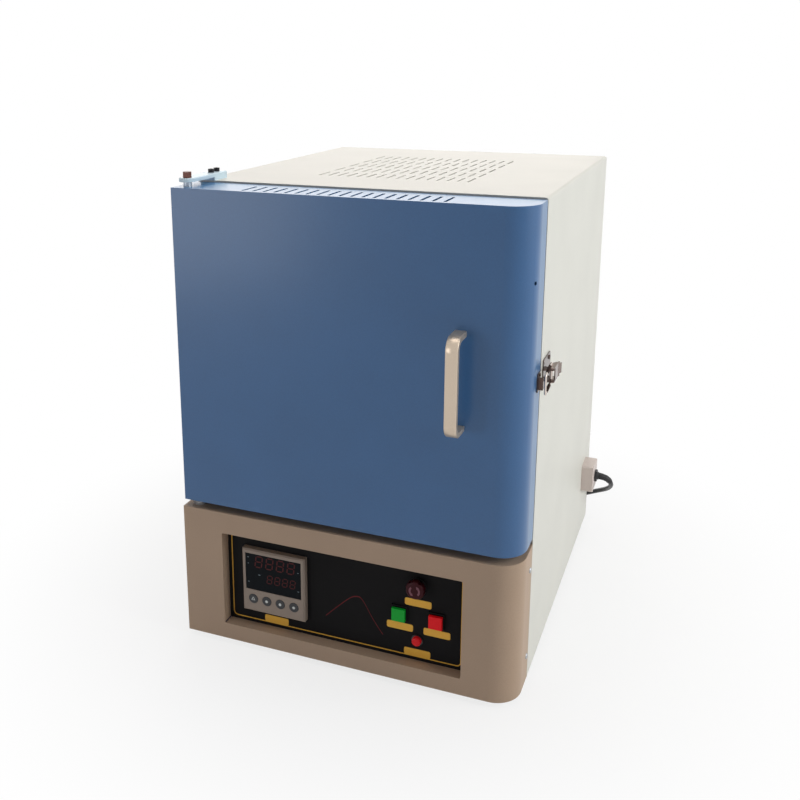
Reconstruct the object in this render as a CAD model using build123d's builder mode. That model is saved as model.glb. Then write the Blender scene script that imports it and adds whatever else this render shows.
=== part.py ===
"""Bench muffle furnace: swing-door chamber over a control cabinet, as separate sub-parts.

Millimetres, +Z up, door side facing -Y.  The origin lies on the bench, under the middle of the
box round the furnace without its lead.
"""
from math import cos, pi, radians, sin, tan
import os

from build123d import *

os.makedirs("parts", exist_ok=True)

# ---------------------------------------------------------------- driving sizes
CASE_W = 480.0  # casing, outside
CASE_D = 580.0  # door front to rear panel
CASE_H = 650.0  # casing without feet
SHEET = 1.5  # casing and door sheet
FOOT_H = 8.0
FOOT_D = 30.0
FOOT_SET = 50.0  # foot centre in from the casing edges
FIT = 0.3  # gap between pieces of different bodies that only stand close
RUN = 0.05  # radial running clearance of a pin in its bore

DOOR_T = 66.0  # door thickness with its back plate
SEAM = 4.0  # door back to casing front
FASCIA_H = 196.0
DOOR_GAP = 10.0  # fascia top to door bottom
DOOR_DROP = 2.0  # casing top to door top
CORNER_R = 36.0  # tall rounded corner at the free side
PROUD = 2.0  # fascia stands out past the door, front and hinge side
LID_H = 8.0
LID_R = 4.0

WALL_SIDE = 95.0  # fibre board beside the chamber
WALL_FLOOR = 120.0
ROOF_AIR = 24.0  # between the roof board and the lid
WALL_BACK = 100.0
CHAMBER_W = 220.0
CHAMBER_H = 200.0
CHAMBER_D = 298.0
MOUTH_T = 2.0
DECK_T = 2.0
HEARTH_T = 8.0
PLUG_DEPTH = 47.0
PLUG_GAP = 3.5  # plug to mouth at the door back
PLUG_TAPER = 12.5  # degrees, lets the plug swing out of the mouth

HANDLE_REACH = 38.0
HANDLE_H = 128.0
HANDLE_W = 15.5
HANDLE_BAR = 7.0
HANDLE_R = 18.0
HANDLE_X = 395.0  # from the hinge side
HANDLE_Z = 431.5  # middle, above the casing bottom

PIVOT_X = 15.0  # hinge axis from the hinge side
PIVOT_Y = 18.0  # hinge axis from the door front
ARM_W = 22.0
ARM_T = 5.0
ARM_LIFT = 4.5  # pad under the upper arm
ARM_REAR = 34.0  # arm length behind the casing front
PIVOT_D = 8.0

BOX_REACH = 20.0  # cable box out from the side
BOX_W = 45.0
BOX_H = 46.0
BOX_Y = 517.0  # its middle, from the door front
BOX_Z = 106.0
GLAND_D = 18.0
GLAND_L = 7.0
CORD_D = 8.0

PANEL_W = 349.0
PANEL_H = 141.0
PANEL_X = 232.5  # middle of the control panel from the hinge side
PANEL_Z = 94.5  # its middle above the casing bottom
PANEL_DEEP = 16.0
PANEL_T = 2.0
PANEL_R = 2.5  # corners of the opening
PANEL_LAP = 8.0  # panel behind the edge of the opening

LATCH_Z = 424.0

# ---------------------------------------------------------------- places
XL = -(CASE_W + BOX_REACH - PROUD) / 2
XR = XL + CASE_W
YD = -(CASE_D - HANDLE_REACH) / 2
YR = YD + CASE_D
YS = YD + DOOR_T + SEAM
ZB = FOOT_H
ZT = ZB + CASE_H
XM = (XL + XR) / 2
DOOR_Z0 = ZB + FASCIA_H + DOOR_GAP
DOOR_Z1 = ZT - DOOR_DROP
PX = XL + PIVOT_X
PY = YD + PIVOT_Y
DECK_Z = ZB + FASCIA_H
FLOOR_Z = DECK_Z + DECK_T + WALL_FLOOR  # chamber floor
ROOF_Z = FLOOR_Z + CHAMBER_H
WALL_ROOF = ZT - LID_H - ROOF_AIR - ROOF_Z
CH_X0 = XM - CHAMBER_W / 2
CH_X1 = XM + CHAMBER_W / 2
FIB_Y0 = YS + MOUTH_T
CH_Y1 = FIB_Y0 + CHAMBER_D
FIB_X0 = CH_X0 - WALL_SIDE
FIB_W = CHAMBER_W + 2 * WALL_SIDE
FIB_D = CHAMBER_D + WALL_BACK
PANEL_CX = XL + PANEL_X
PANEL_CZ = ZB + PANEL_Z
PANEL_Y = YD - PROUD + SHEET + PANEL_DEEP  # face of the control panel

# ---------------------------------------------------------------- feet and base pan
FOOT_PITCH_X = CASE_W - 2 * FOOT_SET
FOOT_PITCH_Y = CASE_D - 2 * FOOT_SET
with BuildPart() as rubber_feet:
    with BuildSketch(Plane.XY):
        with Locations((XM, YD + CASE_D / 2)):
            with GridLocations(FOOT_PITCH_X, FOOT_PITCH_Y, 2, 2):
                Circle(FOOT_D / 2)
    extrude(amount=FOOT_H, taper=4)
rubber_feet.part.label = "rubber_feet"

PAN_H = 20.0
with BuildPart() as base_pan:
    with BuildSketch(Plane.XY.offset(ZB)):
        with BuildLine():
            Polyline(
                (XL + SHEET, YD - PROUD + SHEET),
                (XR - SHEET, YD - PROUD + SHEET),
                (XR - SHEET, YR - 2 * SHEET),
                (XL + SHEET, YR - 2 * SHEET),
                close=True,
            )
        make_face()
        fillet(vertices().sort_by(Axis.Y)[:2].sort_by(Axis.X)[-1], radius=CORNER_R + 2)
    extrude(amount=PAN_H)
    offset(amount=-SHEET, openings=faces().sort_by(Axis.Z)[-1])
base_pan.part.label = "base_pan"

# ---------------------------------------------------------------- casing sheets
RETURN = 16.0
SIDE_Z1 = ZT - LID_H
with BuildPart() as side_panel_left:
    with BuildSketch(Plane.XY.offset(ZB)):
        with BuildLine():
            Polyline(
                (XL, YS),
                (XL + SHEET, YS),
                (XL + SHEET, YR - 2 * SHEET),
                (XL + RETURN, YR - 2 * SHEET),
                (XL + RETURN, YR - SHEET),
                (XL, YR - SHEET),
                close=True,
            )
        make_face()
    extrude(amount=SIDE_Z1 - ZB)
side_panel_left.part.label = "side_panel_left"

with BuildPart() as side_panel_right:
    add(side_panel_left.part.mirror(Plane.YZ.offset(XM)))
side_panel_right.part.label = "side_panel_right"

# roof lid: a shallow tray turned down all round, with five rows of cooling slots
VENT_L = 40.0
VENT_W = 3.0
VENT_COLS = 16
VENT_ROWS = 5
VENT_PITCH = 14.5
VENT_ROW_PITCH = 58.0
VENT_CX = 243.0  # middle of the field from the hinge side
VENT_CY = 312.0  # and from the door front
with BuildPart() as top_cover:
    with BuildSketch(Plane.XY.offset(SIDE_Z1)):
        with Locations((XM, (YS + YR) / 2)):
            Rectangle(CASE_W, YR - YS)
    extrude(amount=LID_H)
    fillet(edges().filter_by(Axis.Y).group_by(Axis.Z)[-1], radius=LID_R)
    offset(amount=-SHEET, openings=faces().sort_by(Axis.Z)[0])
    with BuildSketch(Plane.XY.offset(ZT)):
        with Locations((XL + VENT_CX, YD + VENT_CY)):
            with GridLocations(VENT_PITCH, VENT_ROW_PITCH, VENT_COLS, VENT_ROWS):
                SlotOverall(VENT_L, VENT_W, rotation=90)
    extrude(amount=-2 * SHEET, mode=Mode.SUBTRACT)
    # holes of the hinge arm's screws
    with BuildSketch(Plane.XY.offset(ZT)):
        with Locations((PX, YS + 10), (PX, YS + 25)):
            Circle(2.6)
    extrude(amount=-2 * SHEET, mode=Mode.SUBTRACT)
top_cover.part.label = "top_cover"

REAR_VENT_W = 6.0
REAR_VENT_L = 60.0
REAR_SCREW_X = CASE_W / 2 - RETURN / 2
with BuildPart() as rear_panel:
    with BuildSketch(Plane.XZ.offset(-YR)):
        with Locations((XM, (ZB + SIDE_Z1) / 2)):
            Rectangle(CASE_W, SIDE_Z1 - ZB)
    extrude(amount=SHEET)
    with BuildSketch(Plane.XZ.offset(-YR)):
        for z in (ZB + 70, ZT - 60):
            with Locations((XM, z)):
                with GridLocations(22, 1, 8, 1):
                    SlotOverall(REAR_VENT_L, REAR_VENT_W, rotation=90)
    extrude(amount=2 * SHEET, mode=Mode.SUBTRACT)
    with BuildSketch(Plane.XZ.offset(-YR)):
        with Locations((XM, (ZB + SIDE_Z1) / 2)):
            with GridLocations(2 * REAR_SCREW_X, (SIDE_Z1 - ZB - 40) / 2, 2, 3):
                Circle(2.1)
    extrude(amount=2 * SHEET, mode=Mode.SUBTRACT)
rear_panel.part.label = "rear_panel"

with BuildPart() as rear_screws:
    with BuildSketch(Plane.XZ.offset(-YR)):
        with Locations((XM, (ZB + SIDE_Z1) / 2)):
            with GridLocations(2 * REAR_SCREW_X, (SIDE_Z1 - ZB - 40) / 2, 2, 3):
                Circle(2.0)
    extrude(amount=SHEET)
    with BuildSketch(Plane.XZ.offset(-YR)):
        with Locations((XM, (ZB + SIDE_Z1) / 2)):
            with GridLocations(2 * REAR_SCREW_X, (SIDE_Z1 - ZB - 40) / 2, 2, 3):
                Circle(3.8)
    extrude(amount=-1.6, taper=20)
rear_screws.part.label = "rear_screws"

with BuildPart() as deck_plate:
    with BuildSketch(Plane.XY.offset(DECK_Z)):
        with Locations((XM, (YS + YR - 2 * SHEET) / 2)):
            Rectangle(CASE_W - 2 * SHEET, YR - 2 * SHEET - YS)
    extrude(amount=DECK_T)
deck_plate.part.label = "deck_plate"

MOUTH_R = 6.0
with BuildPart() as mouth_frame:
    with BuildSketch(Plane.XZ.offset(-YS)):
        with Locations((XM, (DECK_Z + DECK_T + SIDE_Z1) / 2)):
            Rectangle(CASE_W - 2 * SHEET, SIDE_Z1 - DECK_Z - DECK_T)
        with Locations((XM, (FLOOR_Z + ROOF_Z) / 2)):
            RectangleRounded(CHAMBER_W, CHAMBER_H, MOUTH_R, mode=Mode.SUBTRACT)
    extrude(amount=-MOUTH_T)
mouth_frame.part.label = "mouth_frame"

# ---------------------------------------------------------------- chamber lining
with BuildPart() as insulation_floor:
    with BuildSketch(Plane.XY.offset(DECK_Z + DECK_T)):
        with Locations((XM, FIB_Y0 + FIB_D / 2)):
            Rectangle(FIB_W, FIB_D)
    extrude(amount=WALL_FLOOR)
insulation_floor.part.label = "insulation_floor"

with BuildPart() as insulation_roof:
    with BuildSketch(Plane.XY.offset(ROOF_Z)):
        with Locations((XM, FIB_Y0 + FIB_D / 2)):
            Rectangle(FIB_W, FIB_D)
    extrude(amount=WALL_ROOF)
insulation_roof.part.label = "insulation_roof"

# heating wire: four runs joined by tight bends, both ends led out through the board
WIRE_D = 7.0
WIRE_RUNS = 4
WIRE_PITCH = 45.0
WIRE_BEND = 7.0
WIRE_Y0 = FIB_Y0 + 63
WIRE_Y1 = CH_Y1 - 20
WIRE_Z0 = (FLOOR_Z + ROOF_Z) / 2 - WIRE_PITCH * (WIRE_RUNS - 1) / 2 + 4
WIRE_SINK = 5.0  # wire axis behind the board face
WIRE_OUT = 12.0  # tail past the board's outer face
GROOVE = 10.0
runs = []
for i in range(WIRE_RUNS):
    ends = [(WIRE_Y1, WIRE_Z0 + i * WIRE_PITCH), (WIRE_Y0, WIRE_Z0 + i * WIRE_PITCH)]
    runs.extend(ends if i % 2 == 0 else ends[::-1])
WIRE_X = CH_X0 - WIRE_SINK
TAIL_X = FIB_X0 - WIRE_OUT
with BuildPart() as insulation_left:
    with BuildSketch(Plane.XY.offset(FLOOR_Z)):
        with Locations((FIB_X0 + WALL_SIDE / 2, FIB_Y0 + CHAMBER_D / 2)):
            Rectangle(WALL_SIDE, CHAMBER_D)
    extrude(amount=CHAMBER_H)
    with BuildSketch(Plane.YZ.offset(CH_X0)):
        for a, b in zip(runs[:-1], runs[1:]):
            with Locations(((a[0] + b[0]) / 2, (a[1] + b[1]) / 2)):
                Rectangle(abs(a[0] - b[0]) + GROOVE, abs(a[1] - b[1]) + GROOVE)
    extrude(amount=-GROOVE, mode=Mode.SUBTRACT)
    with BuildSketch(Plane.YZ.offset(CH_X0)):
        with Locations(runs[0], runs[-1]):
            Circle(WIRE_D / 2 + 1)
    extrude(amount=-WALL_SIDE - 1, mode=Mode.SUBTRACT)
insulation_left.part.label = "insulation_left"

with BuildPart() as insulation_right:
    add(insulation_left.part.mirror(Plane.YZ.offset(XM)))
insulation_right.part.label = "insulation_right"

with BuildPart() as heating_wire_left:
    with BuildLine() as wire_line:
        FilletPolyline(
            (TAIL_X, *runs[0]),
            *[(WIRE_X, y, z) for y, z in runs],
            (TAIL_X, *runs[-1]),
            radius=WIRE_BEND,
        )
    with BuildSketch(Plane(origin=(TAIL_X, *runs[0]), z_dir=(1, 0, 0))):
        Circle(WIRE_D / 2)
    sweep(path=wire_line.wires()[0])
heating_wire_left.part.label = "heating_wire_left"

with BuildPart() as heating_wire_right:
    add(heating_wire_left.part.mirror(Plane.YZ.offset(XM)))
heating_wire_right.part.label = "heating_wire_right"

PROBE_D = 8.0
PROBE_Z = ROOF_Z - 16
PROBE_IN = 40.0
with BuildPart() as insulation_back:
    with BuildSketch(Plane.XY.offset(FLOOR_Z)):
        with Locations((XM, CH_Y1 + WALL_BACK / 2)):
            Rectangle(FIB_W, WALL_BACK)
    extrude(amount=CHAMBER_H)
    with BuildSketch(Plane.XZ.offset(-CH_Y1)):
        with Locations((XM, PROBE_Z)):
            Circle(PROBE_D / 2 + FIT)
    extrude(amount=-WALL_BACK - 1, mode=Mode.SUBTRACT)
insulation_back.part.label = "insulation_back"

with BuildPart() as thermocouple_sheath:
    with BuildSketch(Plane.XZ.offset(-CH_Y1 - WALL_BACK)):
        with Locations((XM, PROBE_Z)):
            Circle(PROBE_D / 2)
    extrude(amount=WALL_BACK + PROBE_IN)
    fillet(edges().filter_by(GeomType.CIRCLE).sort_by(Axis.Y)[0], radius=PROBE_D / 2 - 0.2)
thermocouple_sheath.part.label = "thermocouple_sheath"

with BuildPart() as thermocouple_head:
    with BuildSketch(Plane.XZ.offset(-CH_Y1 - WALL_BACK)):
        with Locations((XM, PROBE_Z)):
            Circle(14)
    extrude(amount=-22)
    chamfer(edges().filter_by(GeomType.CIRCLE).sort_by(Axis.Y)[-1], length=3)
thermocouple_head.part.label = "thermocouple_head"

with BuildPart() as hearth_plate:
    with BuildSketch(Plane.XY.offset(FLOOR_Z)):
        with Locations((XM, (FIB_Y0 + PLUG_DEPTH + CH_Y1) / 2)):
            Rectangle(CHAMBER_W - 10, CHAMBER_D - PLUG_DEPTH - 10)
    extrude(amount=HEARTH_T)
    chamfer(edges().group_by(Axis.Z)[-1], length=1.5)
hearth_plate.part.label = "hearth_plate"

# ---------------------------------------------------------------- fascia and control panel
FASCIA_Y1 = YS - 1
FLANGE_Y = YD + 58.0  # side screws
FLANGE_LOW = ZB + 38.0
FLANGE_HIGH = ZB + 165.0
with BuildPart() as fascia:
    with BuildSketch(Plane.XY.offset(ZB)):
        with BuildLine():
            Polyline(
                (XL - PROUD, YD - PROUD),
                (XR, YD - PROUD),
                (XR, FASCIA_Y1),
                (XL - PROUD, FASCIA_Y1),
                close=True,
            )
        make_face()
        fillet(vertices().sort_by(Axis.Y)[:2].sort_by(Axis.X)[-1], radius=CORNER_R)
    extrude(amount=FASCIA_H)
    offset(
        amount=-SHEET,
        openings=[faces().sort_by(Axis.Z)[0], faces().sort_by(Axis.Y)[-1]],
    )
    # reveal walls folded in round the control panel
    with BuildSketch(Plane.XZ.offset(-(YD - PROUD))):
        with Locations((PANEL_CX, PANEL_CZ)):
            RectangleRounded(PANEL_W + 2 * SHEET, PANEL_H + 2 * SHEET, PANEL_R + SHEET)
    extrude(amount=-(PANEL_Y - YD + PROUD))
    with BuildSketch(Plane.XZ.offset(-(YD - PROUD))):
        with Locations((PANEL_CX, PANEL_CZ)):
            RectangleRounded(PANEL_W, PANEL_H, PANEL_R)
    extrude(amount=-(PANEL_Y - YD + PROUD), mode=Mode.SUBTRACT)
    with BuildSketch(Plane.YZ.offset(XL - 2 * PROUD)):
        with Locations((FLANGE_Y, FLANGE_LOW), (FLANGE_Y, FLANGE_HIGH)):
            Circle(2.1)
    extrude(amount=CASE_W + 4 * PROUD, mode=Mode.SUBTRACT)
fascia.part.label = "fascia"

with BuildPart() as fascia_screws:
    for x, away in ((XR, 1), (XL - PROUD, -1)):
        with BuildSketch(Plane.YZ.offset(x)):
            with Locations((FLANGE_Y, FLANGE_LOW), (FLANGE_Y, FLANGE_HIGH)):
                Circle(2.0)
        extrude(amount=-away * SHEET * 3)
        with BuildSketch(Plane.YZ.offset(x)):
            with Locations((FLANGE_Y, FLANGE_LOW), (FLANGE_Y, FLANGE_HIGH)):
                Circle(3.6)
        extrude(amount=away * 1.6, taper=18)
fascia_screws.part.label = "fascia_screws"

CTRL = 96.0  # controller bezel, square
CTRL_BODY = 91.5
CTRL_PROUD = 10.0
CTRL_DEEP = 70.0  # case behind the panel
CTRL_IN = 75.0  # controller's middle from the opening's left edge
CTRL_UP = 1.5  # and above its middle
CTRL_X = PANEL_CX - PANEL_W / 2 + CTRL_IN
CTRL_Z = PANEL_CZ + CTRL_UP
KEY_D = 14.0
KEY_PITCH = 21.0
KEY_DROP = 28.0  # keys below the controller's middle
KEY_TRAVEL = 0.8
WINDOW_W = 86.0
WINDOW_H = 56.0
WINDOW_UP = 14.0
SQUARE = 19.5  # start and stop buttons
BUTTON_LOW = 4.0  # row of buttons below the opening's middle
START_IN = 90.0  # each switch from the opening's right edge
STOP_IN = 38.5
ESTOP_IN = 65.0
BUTTON_Z = PANEL_CZ - BUTTON_LOW
START_X = PANEL_CX + PANEL_W / 2 - START_IN
STOP_X = PANEL_CX + PANEL_W / 2 - STOP_IN
BUTTON_TRAVEL = 3.0
ESTOP_UP = 41.5
ESTOP_X = PANEL_CX + PANEL_W / 2 - ESTOP_IN
ESTOP_Z = PANEL_CZ + ESTOP_UP
ESTOP_D = 26.0
ESTOP_TRAVEL = 4.0
LAMP_LOW = 39.5
LAMP_X = ESTOP_X
LAMP_Z = PANEL_CZ - LAMP_LOW
LAMP_D = 13.0

with BuildPart() as control_panel:
    with BuildSketch(Plane.XZ.offset(-PANEL_Y)):
        with Locations((PANEL_CX, PANEL_CZ)):
            Rectangle(PANEL_W + 2 * PANEL_LAP, PANEL_H + 2 * PANEL_LAP)
        with Locations((CTRL_X, CTRL_Z)):
            Rectangle(CTRL_BODY + 0.6, CTRL_BODY + 0.6, mode=Mode.SUBTRACT)
        with Locations((START_X, BUTTON_Z), (STOP_X, BUTTON_Z), (ESTOP_X, ESTOP_Z)):
            Circle(8.2, mode=Mode.SUBTRACT)
        with Locations((LAMP_X, LAMP_Z)):
            Circle(6.2, mode=Mode.SUBTRACT)
    extrude(amount=-PANEL_T)
control_panel.part.label = "control_panel"

with BuildPart() as controller_case:
    with BuildSketch(Plane.XZ.offset(-PANEL_Y)):
        with Locations((CTRL_X, CTRL_Z)):
            Rectangle(CTRL, CTRL)
    extrude(amount=CTRL_PROUD)
    chamfer(faces().sort_by(Axis.Y)[0].edges(), length=2)
    with BuildSketch(Plane.XZ.offset(-PANEL_Y)):
        with Locations((CTRL_X, CTRL_Z)):
            Rectangle(CTRL_BODY, CTRL_BODY)
    extrude(amount=-CTRL_DEEP)
    with BuildSketch(Plane.XZ.offset(-PANEL_Y + CTRL_PROUD)):
        with Locations((CTRL_X, CTRL_Z + WINDOW_UP)):
            Rectangle(WINDOW_W, WINDOW_H)
    extrude(amount=-2, mode=Mode.SUBTRACT)
    with BuildSketch(Plane.XZ.offset(-PANEL_Y + CTRL_PROUD)):
        with Locations((CTRL_X, CTRL_Z - KEY_DROP)):
            with GridLocations(KEY_PITCH, 1, 4, 1):
                Circle(KEY_D / 2 + FIT)
    extrude(amount=-6, mode=Mode.SUBTRACT)
controller_case.part.label = "controller_case"

with BuildPart() as controller_window:
    with BuildSketch(Plane.XZ.offset(-PANEL_Y + CTRL_PROUD - 2)):
        with Locations((CTRL_X, CTRL_Z + WINDOW_UP)):
            Rectangle(WINDOW_W - 0.4, WINDOW_H - 0.4)
    extrude(amount=1.4)
controller_window.part.label = "controller_window"

keys = []
for i in range(4):
    with BuildPart() as key:
        with BuildSketch(Plane.XZ.offset(-PANEL_Y + CTRL_PROUD - 6 + KEY_TRAVEL + FIT)):
            with Locations((CTRL_X + (i - 1.5) * KEY_PITCH, CTRL_Z - KEY_DROP)):
                Circle(KEY_D / 2)
        extrude(amount=6 - FIT)
        fillet(edges().filter_by(GeomType.CIRCLE).sort_by(Axis.Y)[0], radius=0.8)
    key.part.label = f"controller_key_{i + 1}"
    keys.append(key)

# square push buttons: a fixed ring on the panel with the barrel behind, and the cap
button_parts = []
for name, x in (("start_button", START_X), ("stop_button", STOP_X)):
    with BuildPart() as body:
        with BuildSketch(Plane.XZ.offset(-PANEL_Y)):
            with Locations((x, BUTTON_Z)):
                Rectangle(SQUARE + 3, SQUARE + 3)
        extrude(amount=3)
        chamfer(faces().sort_by(Axis.Y)[0].edges(), length=0.8)
        with BuildSketch(Plane.XZ.offset(-PANEL_Y)):
            with Locations((x, BUTTON_Z)):
                Circle(8)
        extrude(amount=-32)
        with BuildSketch(Plane.XZ.offset(-PANEL_Y + 3)):
            with Locations((x, BUTTON_Z)):
                Rectangle(SQUARE - 0.4, SQUARE - 0.4)
        extrude(amount=-2, mode=Mode.SUBTRACT)
        with BuildSketch(Plane.XZ.offset(-PANEL_Y + 3)):
            with Locations((x, BUTTON_Z)):
                Circle(5 + FIT)
        extrude(amount=-13, mode=Mode.SUBTRACT)
    body.part.label = f"{name}_body"
    with BuildPart() as cap:
        with BuildSketch(Plane.XZ.offset(-PANEL_Y + 1 + BUTTON_TRAVEL + FIT)):
            with Locations((x, BUTTON_Z)):
                Rectangle(SQUARE - 1, SQUARE - 1)
        extrude(amount=4.5)
        fillet(faces().sort_by(Axis.Y)[0].edges(), radius=0.8)
        with BuildSketch(Plane.XZ.offset(-PANEL_Y + 1 + BUTTON_TRAVEL + FIT)):
            with Locations((x, BUTTON_Z)):
                Circle(5)
        extrude(amount=-10)
    cap.part.label = f"{name}_cap"
    button_parts.extend([body, cap])

with BuildPart() as emergency_body:
    with BuildSketch(Plane.XZ.offset(-PANEL_Y)):
        with Locations((ESTOP_X, ESTOP_Z)):
            Circle(ESTOP_D / 2 - 1)
    extrude(amount=3)
    chamfer(faces().sort_by(Axis.Y)[0].edges(), length=1)
    with BuildSketch(Plane.XZ.offset(-PANEL_Y)):
        with Locations((ESTOP_X, ESTOP_Z)):
            Circle(8)
    extrude(amount=-34)
    with BuildSketch(Plane.XZ.offset(-PANEL_Y + 3)):
        with Locations((ESTOP_X, ESTOP_Z)):
            Circle(6 + FIT)
    extrude(amount=-19, mode=Mode.SUBTRACT)
emergency_body.part.label = "emergency_body"

ESTOP_CAP_Y = 3 + ESTOP_TRAVEL + FIT  # cap's underside off the panel
with BuildPart() as emergency_stem:
    with BuildSketch(Plane.XZ.offset(-PANEL_Y + ESTOP_CAP_Y + 5)):
        with Locations((ESTOP_X, ESTOP_Z)):
            Circle(6)
    extrude(amount=-16)
emergency_stem.part.label = "emergency_stem"

with BuildPart() as emergency_cap:
    with BuildSketch(Plane.XZ.offset(-PANEL_Y + ESTOP_CAP_Y)):
        with Locations((ESTOP_X, ESTOP_Z)):
            Circle(ESTOP_D / 2)
    extrude(amount=9)
    fillet(edges().filter_by(GeomType.CIRCLE).sort_by(Axis.Y)[0], radius=4)
    with BuildSketch(Plane.XZ.offset(-PANEL_Y + ESTOP_CAP_Y)):
        with Locations((ESTOP_X, ESTOP_Z)):
            Circle(6 + RUN)
    extrude(amount=5.3, mode=Mode.SUBTRACT)
    # finger scallops round the rim
    with BuildSketch(Plane.XZ.offset(-PANEL_Y + ESTOP_CAP_Y)):
        with Locations((ESTOP_X, ESTOP_Z)):
            with PolarLocations(ESTOP_D / 2 + 1.6, 6):
                Circle(3)
    extrude(amount=9, mode=Mode.SUBTRACT)
emergency_cap.part.label = "emergency_cap"

with BuildPart() as power_lamp_body:
    with BuildSketch(Plane.XZ.offset(-PANEL_Y)):
        with Locations((LAMP_X, LAMP_Z)):
            Circle(LAMP_D / 2 + 1.5)
    extrude(amount=1.5)
    with BuildSketch(Plane.XZ.offset(-PANEL_Y)):
        with Locations((LAMP_X, LAMP_Z)):
            Circle(6)
    extrude(amount=-24)
power_lamp_body.part.label = "power_lamp_body"

with BuildPart() as power_lamp_lens:
    with BuildSketch(Plane.XZ.offset(-PANEL_Y + 1.5)):
        with Locations((LAMP_X, LAMP_Z)):
            Circle(LAMP_D / 2)
    extrude(amount=6)
    fillet(edges().filter_by(GeomType.CIRCLE).sort_by(Axis.Y)[0], radius=3)
power_lamp_lens.part.label = "power_lamp_lens"

# ---------------------------------------------------------------- door
DOOR_H = DOOR_Z1 - DOOR_Z0
SLOT_COUNT = 19
SLOT_PITCH = 14.9
SLOT_CX = 236.0
SLOT_CY = 27.0
SLOT_W = 4.0
BLOCK_T = 12.0
BLOCK_W = 30.0
COLLAR_D = 11.0
PIN_D = 10.0
with BuildPart() as door_shell:
    with BuildSketch(Plane.XY.offset(DOOR_Z0)):
        with BuildLine():
            Polyline(
                (XL, YD),
                (XR, YD),
                (XR, YD + DOOR_T - SHEET),
                (XL, YD + DOOR_T - SHEET),
                close=True,
            )
        make_face()
        fillet(vertices().sort_by(Axis.Y)[:2].sort_by(Axis.X)[-1], radius=CORNER_R)
    extrude(amount=DOOR_H)
    offset(amount=-SHEET, openings=faces().sort_by(Axis.Y)[-1])
    with BuildSketch(Plane.XY.offset(DOOR_Z1)):
        with Locations((XL + SLOT_CX, YD + SLOT_CY)):
            with GridLocations(SLOT_PITCH, 1, SLOT_COUNT, 1):
                SlotOverall(VENT_L, SLOT_W, rotation=90)
    extrude(amount=-2 * SHEET, mode=Mode.SUBTRACT)
    with BuildSketch(Plane.XY.offset(DOOR_Z1)):
        with Locations((PX, PY)):
            Circle(PIVOT_D / 2 + 0.5)
    extrude(amount=-2 * SHEET, mode=Mode.SUBTRACT)
    with BuildSketch(Plane.XY.offset(DOOR_Z0)):
        with Locations((PX, PY)):
            Circle(PIN_D / 2 + 1)
    extrude(amount=2 * SHEET, mode=Mode.SUBTRACT)
    # handle screw holes
    with BuildSketch(Plane.XZ.offset(-YD)):
        with Locations((XL + HANDLE_X, ZB + HANDLE_Z)):
            with GridLocations(1, HANDLE_H - HANDLE_BAR, 1, 2):
                Circle(1.8)
    extrude(amount=-2 * SHEET, mode=Mode.SUBTRACT)
    # small hole in the rounded corner
    with BuildSketch(
        Plane(
            origin=(XR - CORNER_R, YD + CORNER_R, ZB + 555),
            z_dir=(sin(radians(70)), -cos(radians(70)), 0),
        )
    ):
        Circle(2.5)
    extrude(amount=CORNER_R + 5, mode=Mode.SUBTRACT)
door_shell.part.label = "door_shell"

with BuildPart() as door_backplate:
    with BuildSketch(Plane.XZ.offset(-(YD + DOOR_T))):
        with Locations((XM, (DOOR_Z0 + DOOR_Z1) / 2)):
            Rectangle(CASE_W, DOOR_H)
    extrude(amount=SHEET)
door_backplate.part.label = "door_backplate"

SEAL_W = 26.0
with BuildPart() as door_seal:
    with BuildSketch(Plane.XZ.offset(-(YD + DOOR_T))):
        with Locations((XM, (FLOOR_Z + ROOF_Z) / 2)):
            RectangleRounded(CHAMBER_W + 2 * SEAL_W, CHAMBER_H + 2 * SEAL_W, 12)
            Rectangle(CHAMBER_W, CHAMBER_H, mode=Mode.SUBTRACT)
    extrude(amount=-(SEAM - FIT))
door_seal.part.label = "door_seal"

with BuildPart() as door_plug:
    with BuildSketch(Plane.XZ.offset(-(YD + DOOR_T))):
        with Locations((XM, (FLOOR_Z + ROOF_Z) / 2)):
            Rectangle(CHAMBER_W - 2 * PLUG_GAP, CHAMBER_H - 2 * PLUG_GAP)
    extrude(amount=-PLUG_DEPTH, taper=PLUG_TAPER)
door_plug.part.label = "door_plug"

HZ0 = ZB + HANDLE_Z - HANDLE_H / 2
with BuildPart() as handle:
    with BuildSketch(Plane.YZ.offset(XL + HANDLE_X - HANDLE_W / 2)):
        with Locations((YD - HANDLE_REACH / 2, ZB + HANDLE_Z)):
            Rectangle(HANDLE_REACH, HANDLE_H)
        fillet(vertices().group_by(Axis.X)[0], radius=HANDLE_R)
        with BuildSketch(mode=Mode.SUBTRACT):
            with Locations((YD - (HANDLE_REACH - HANDLE_BAR) / 2, ZB + HANDLE_Z)):
                Rectangle(HANDLE_REACH - HANDLE_BAR, HANDLE_H - 2 * HANDLE_BAR)
            fillet(vertices().group_by(Axis.X)[0], radius=HANDLE_R - HANDLE_BAR)
    extrude(amount=HANDLE_W)
    chamfer(edges().filter_by(Axis.Z).group_by(Axis.Y)[0], length=1)
    with BuildSketch(Plane.XZ.offset(-YD)):
        with Locations((XL + HANDLE_X, ZB + HANDLE_Z)):
            with GridLocations(1, HANDLE_H - HANDLE_BAR, 1, 2):
                Circle(1.55)
    extrude(amount=12, mode=Mode.SUBTRACT)
handle.part.label = "handle"

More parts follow.
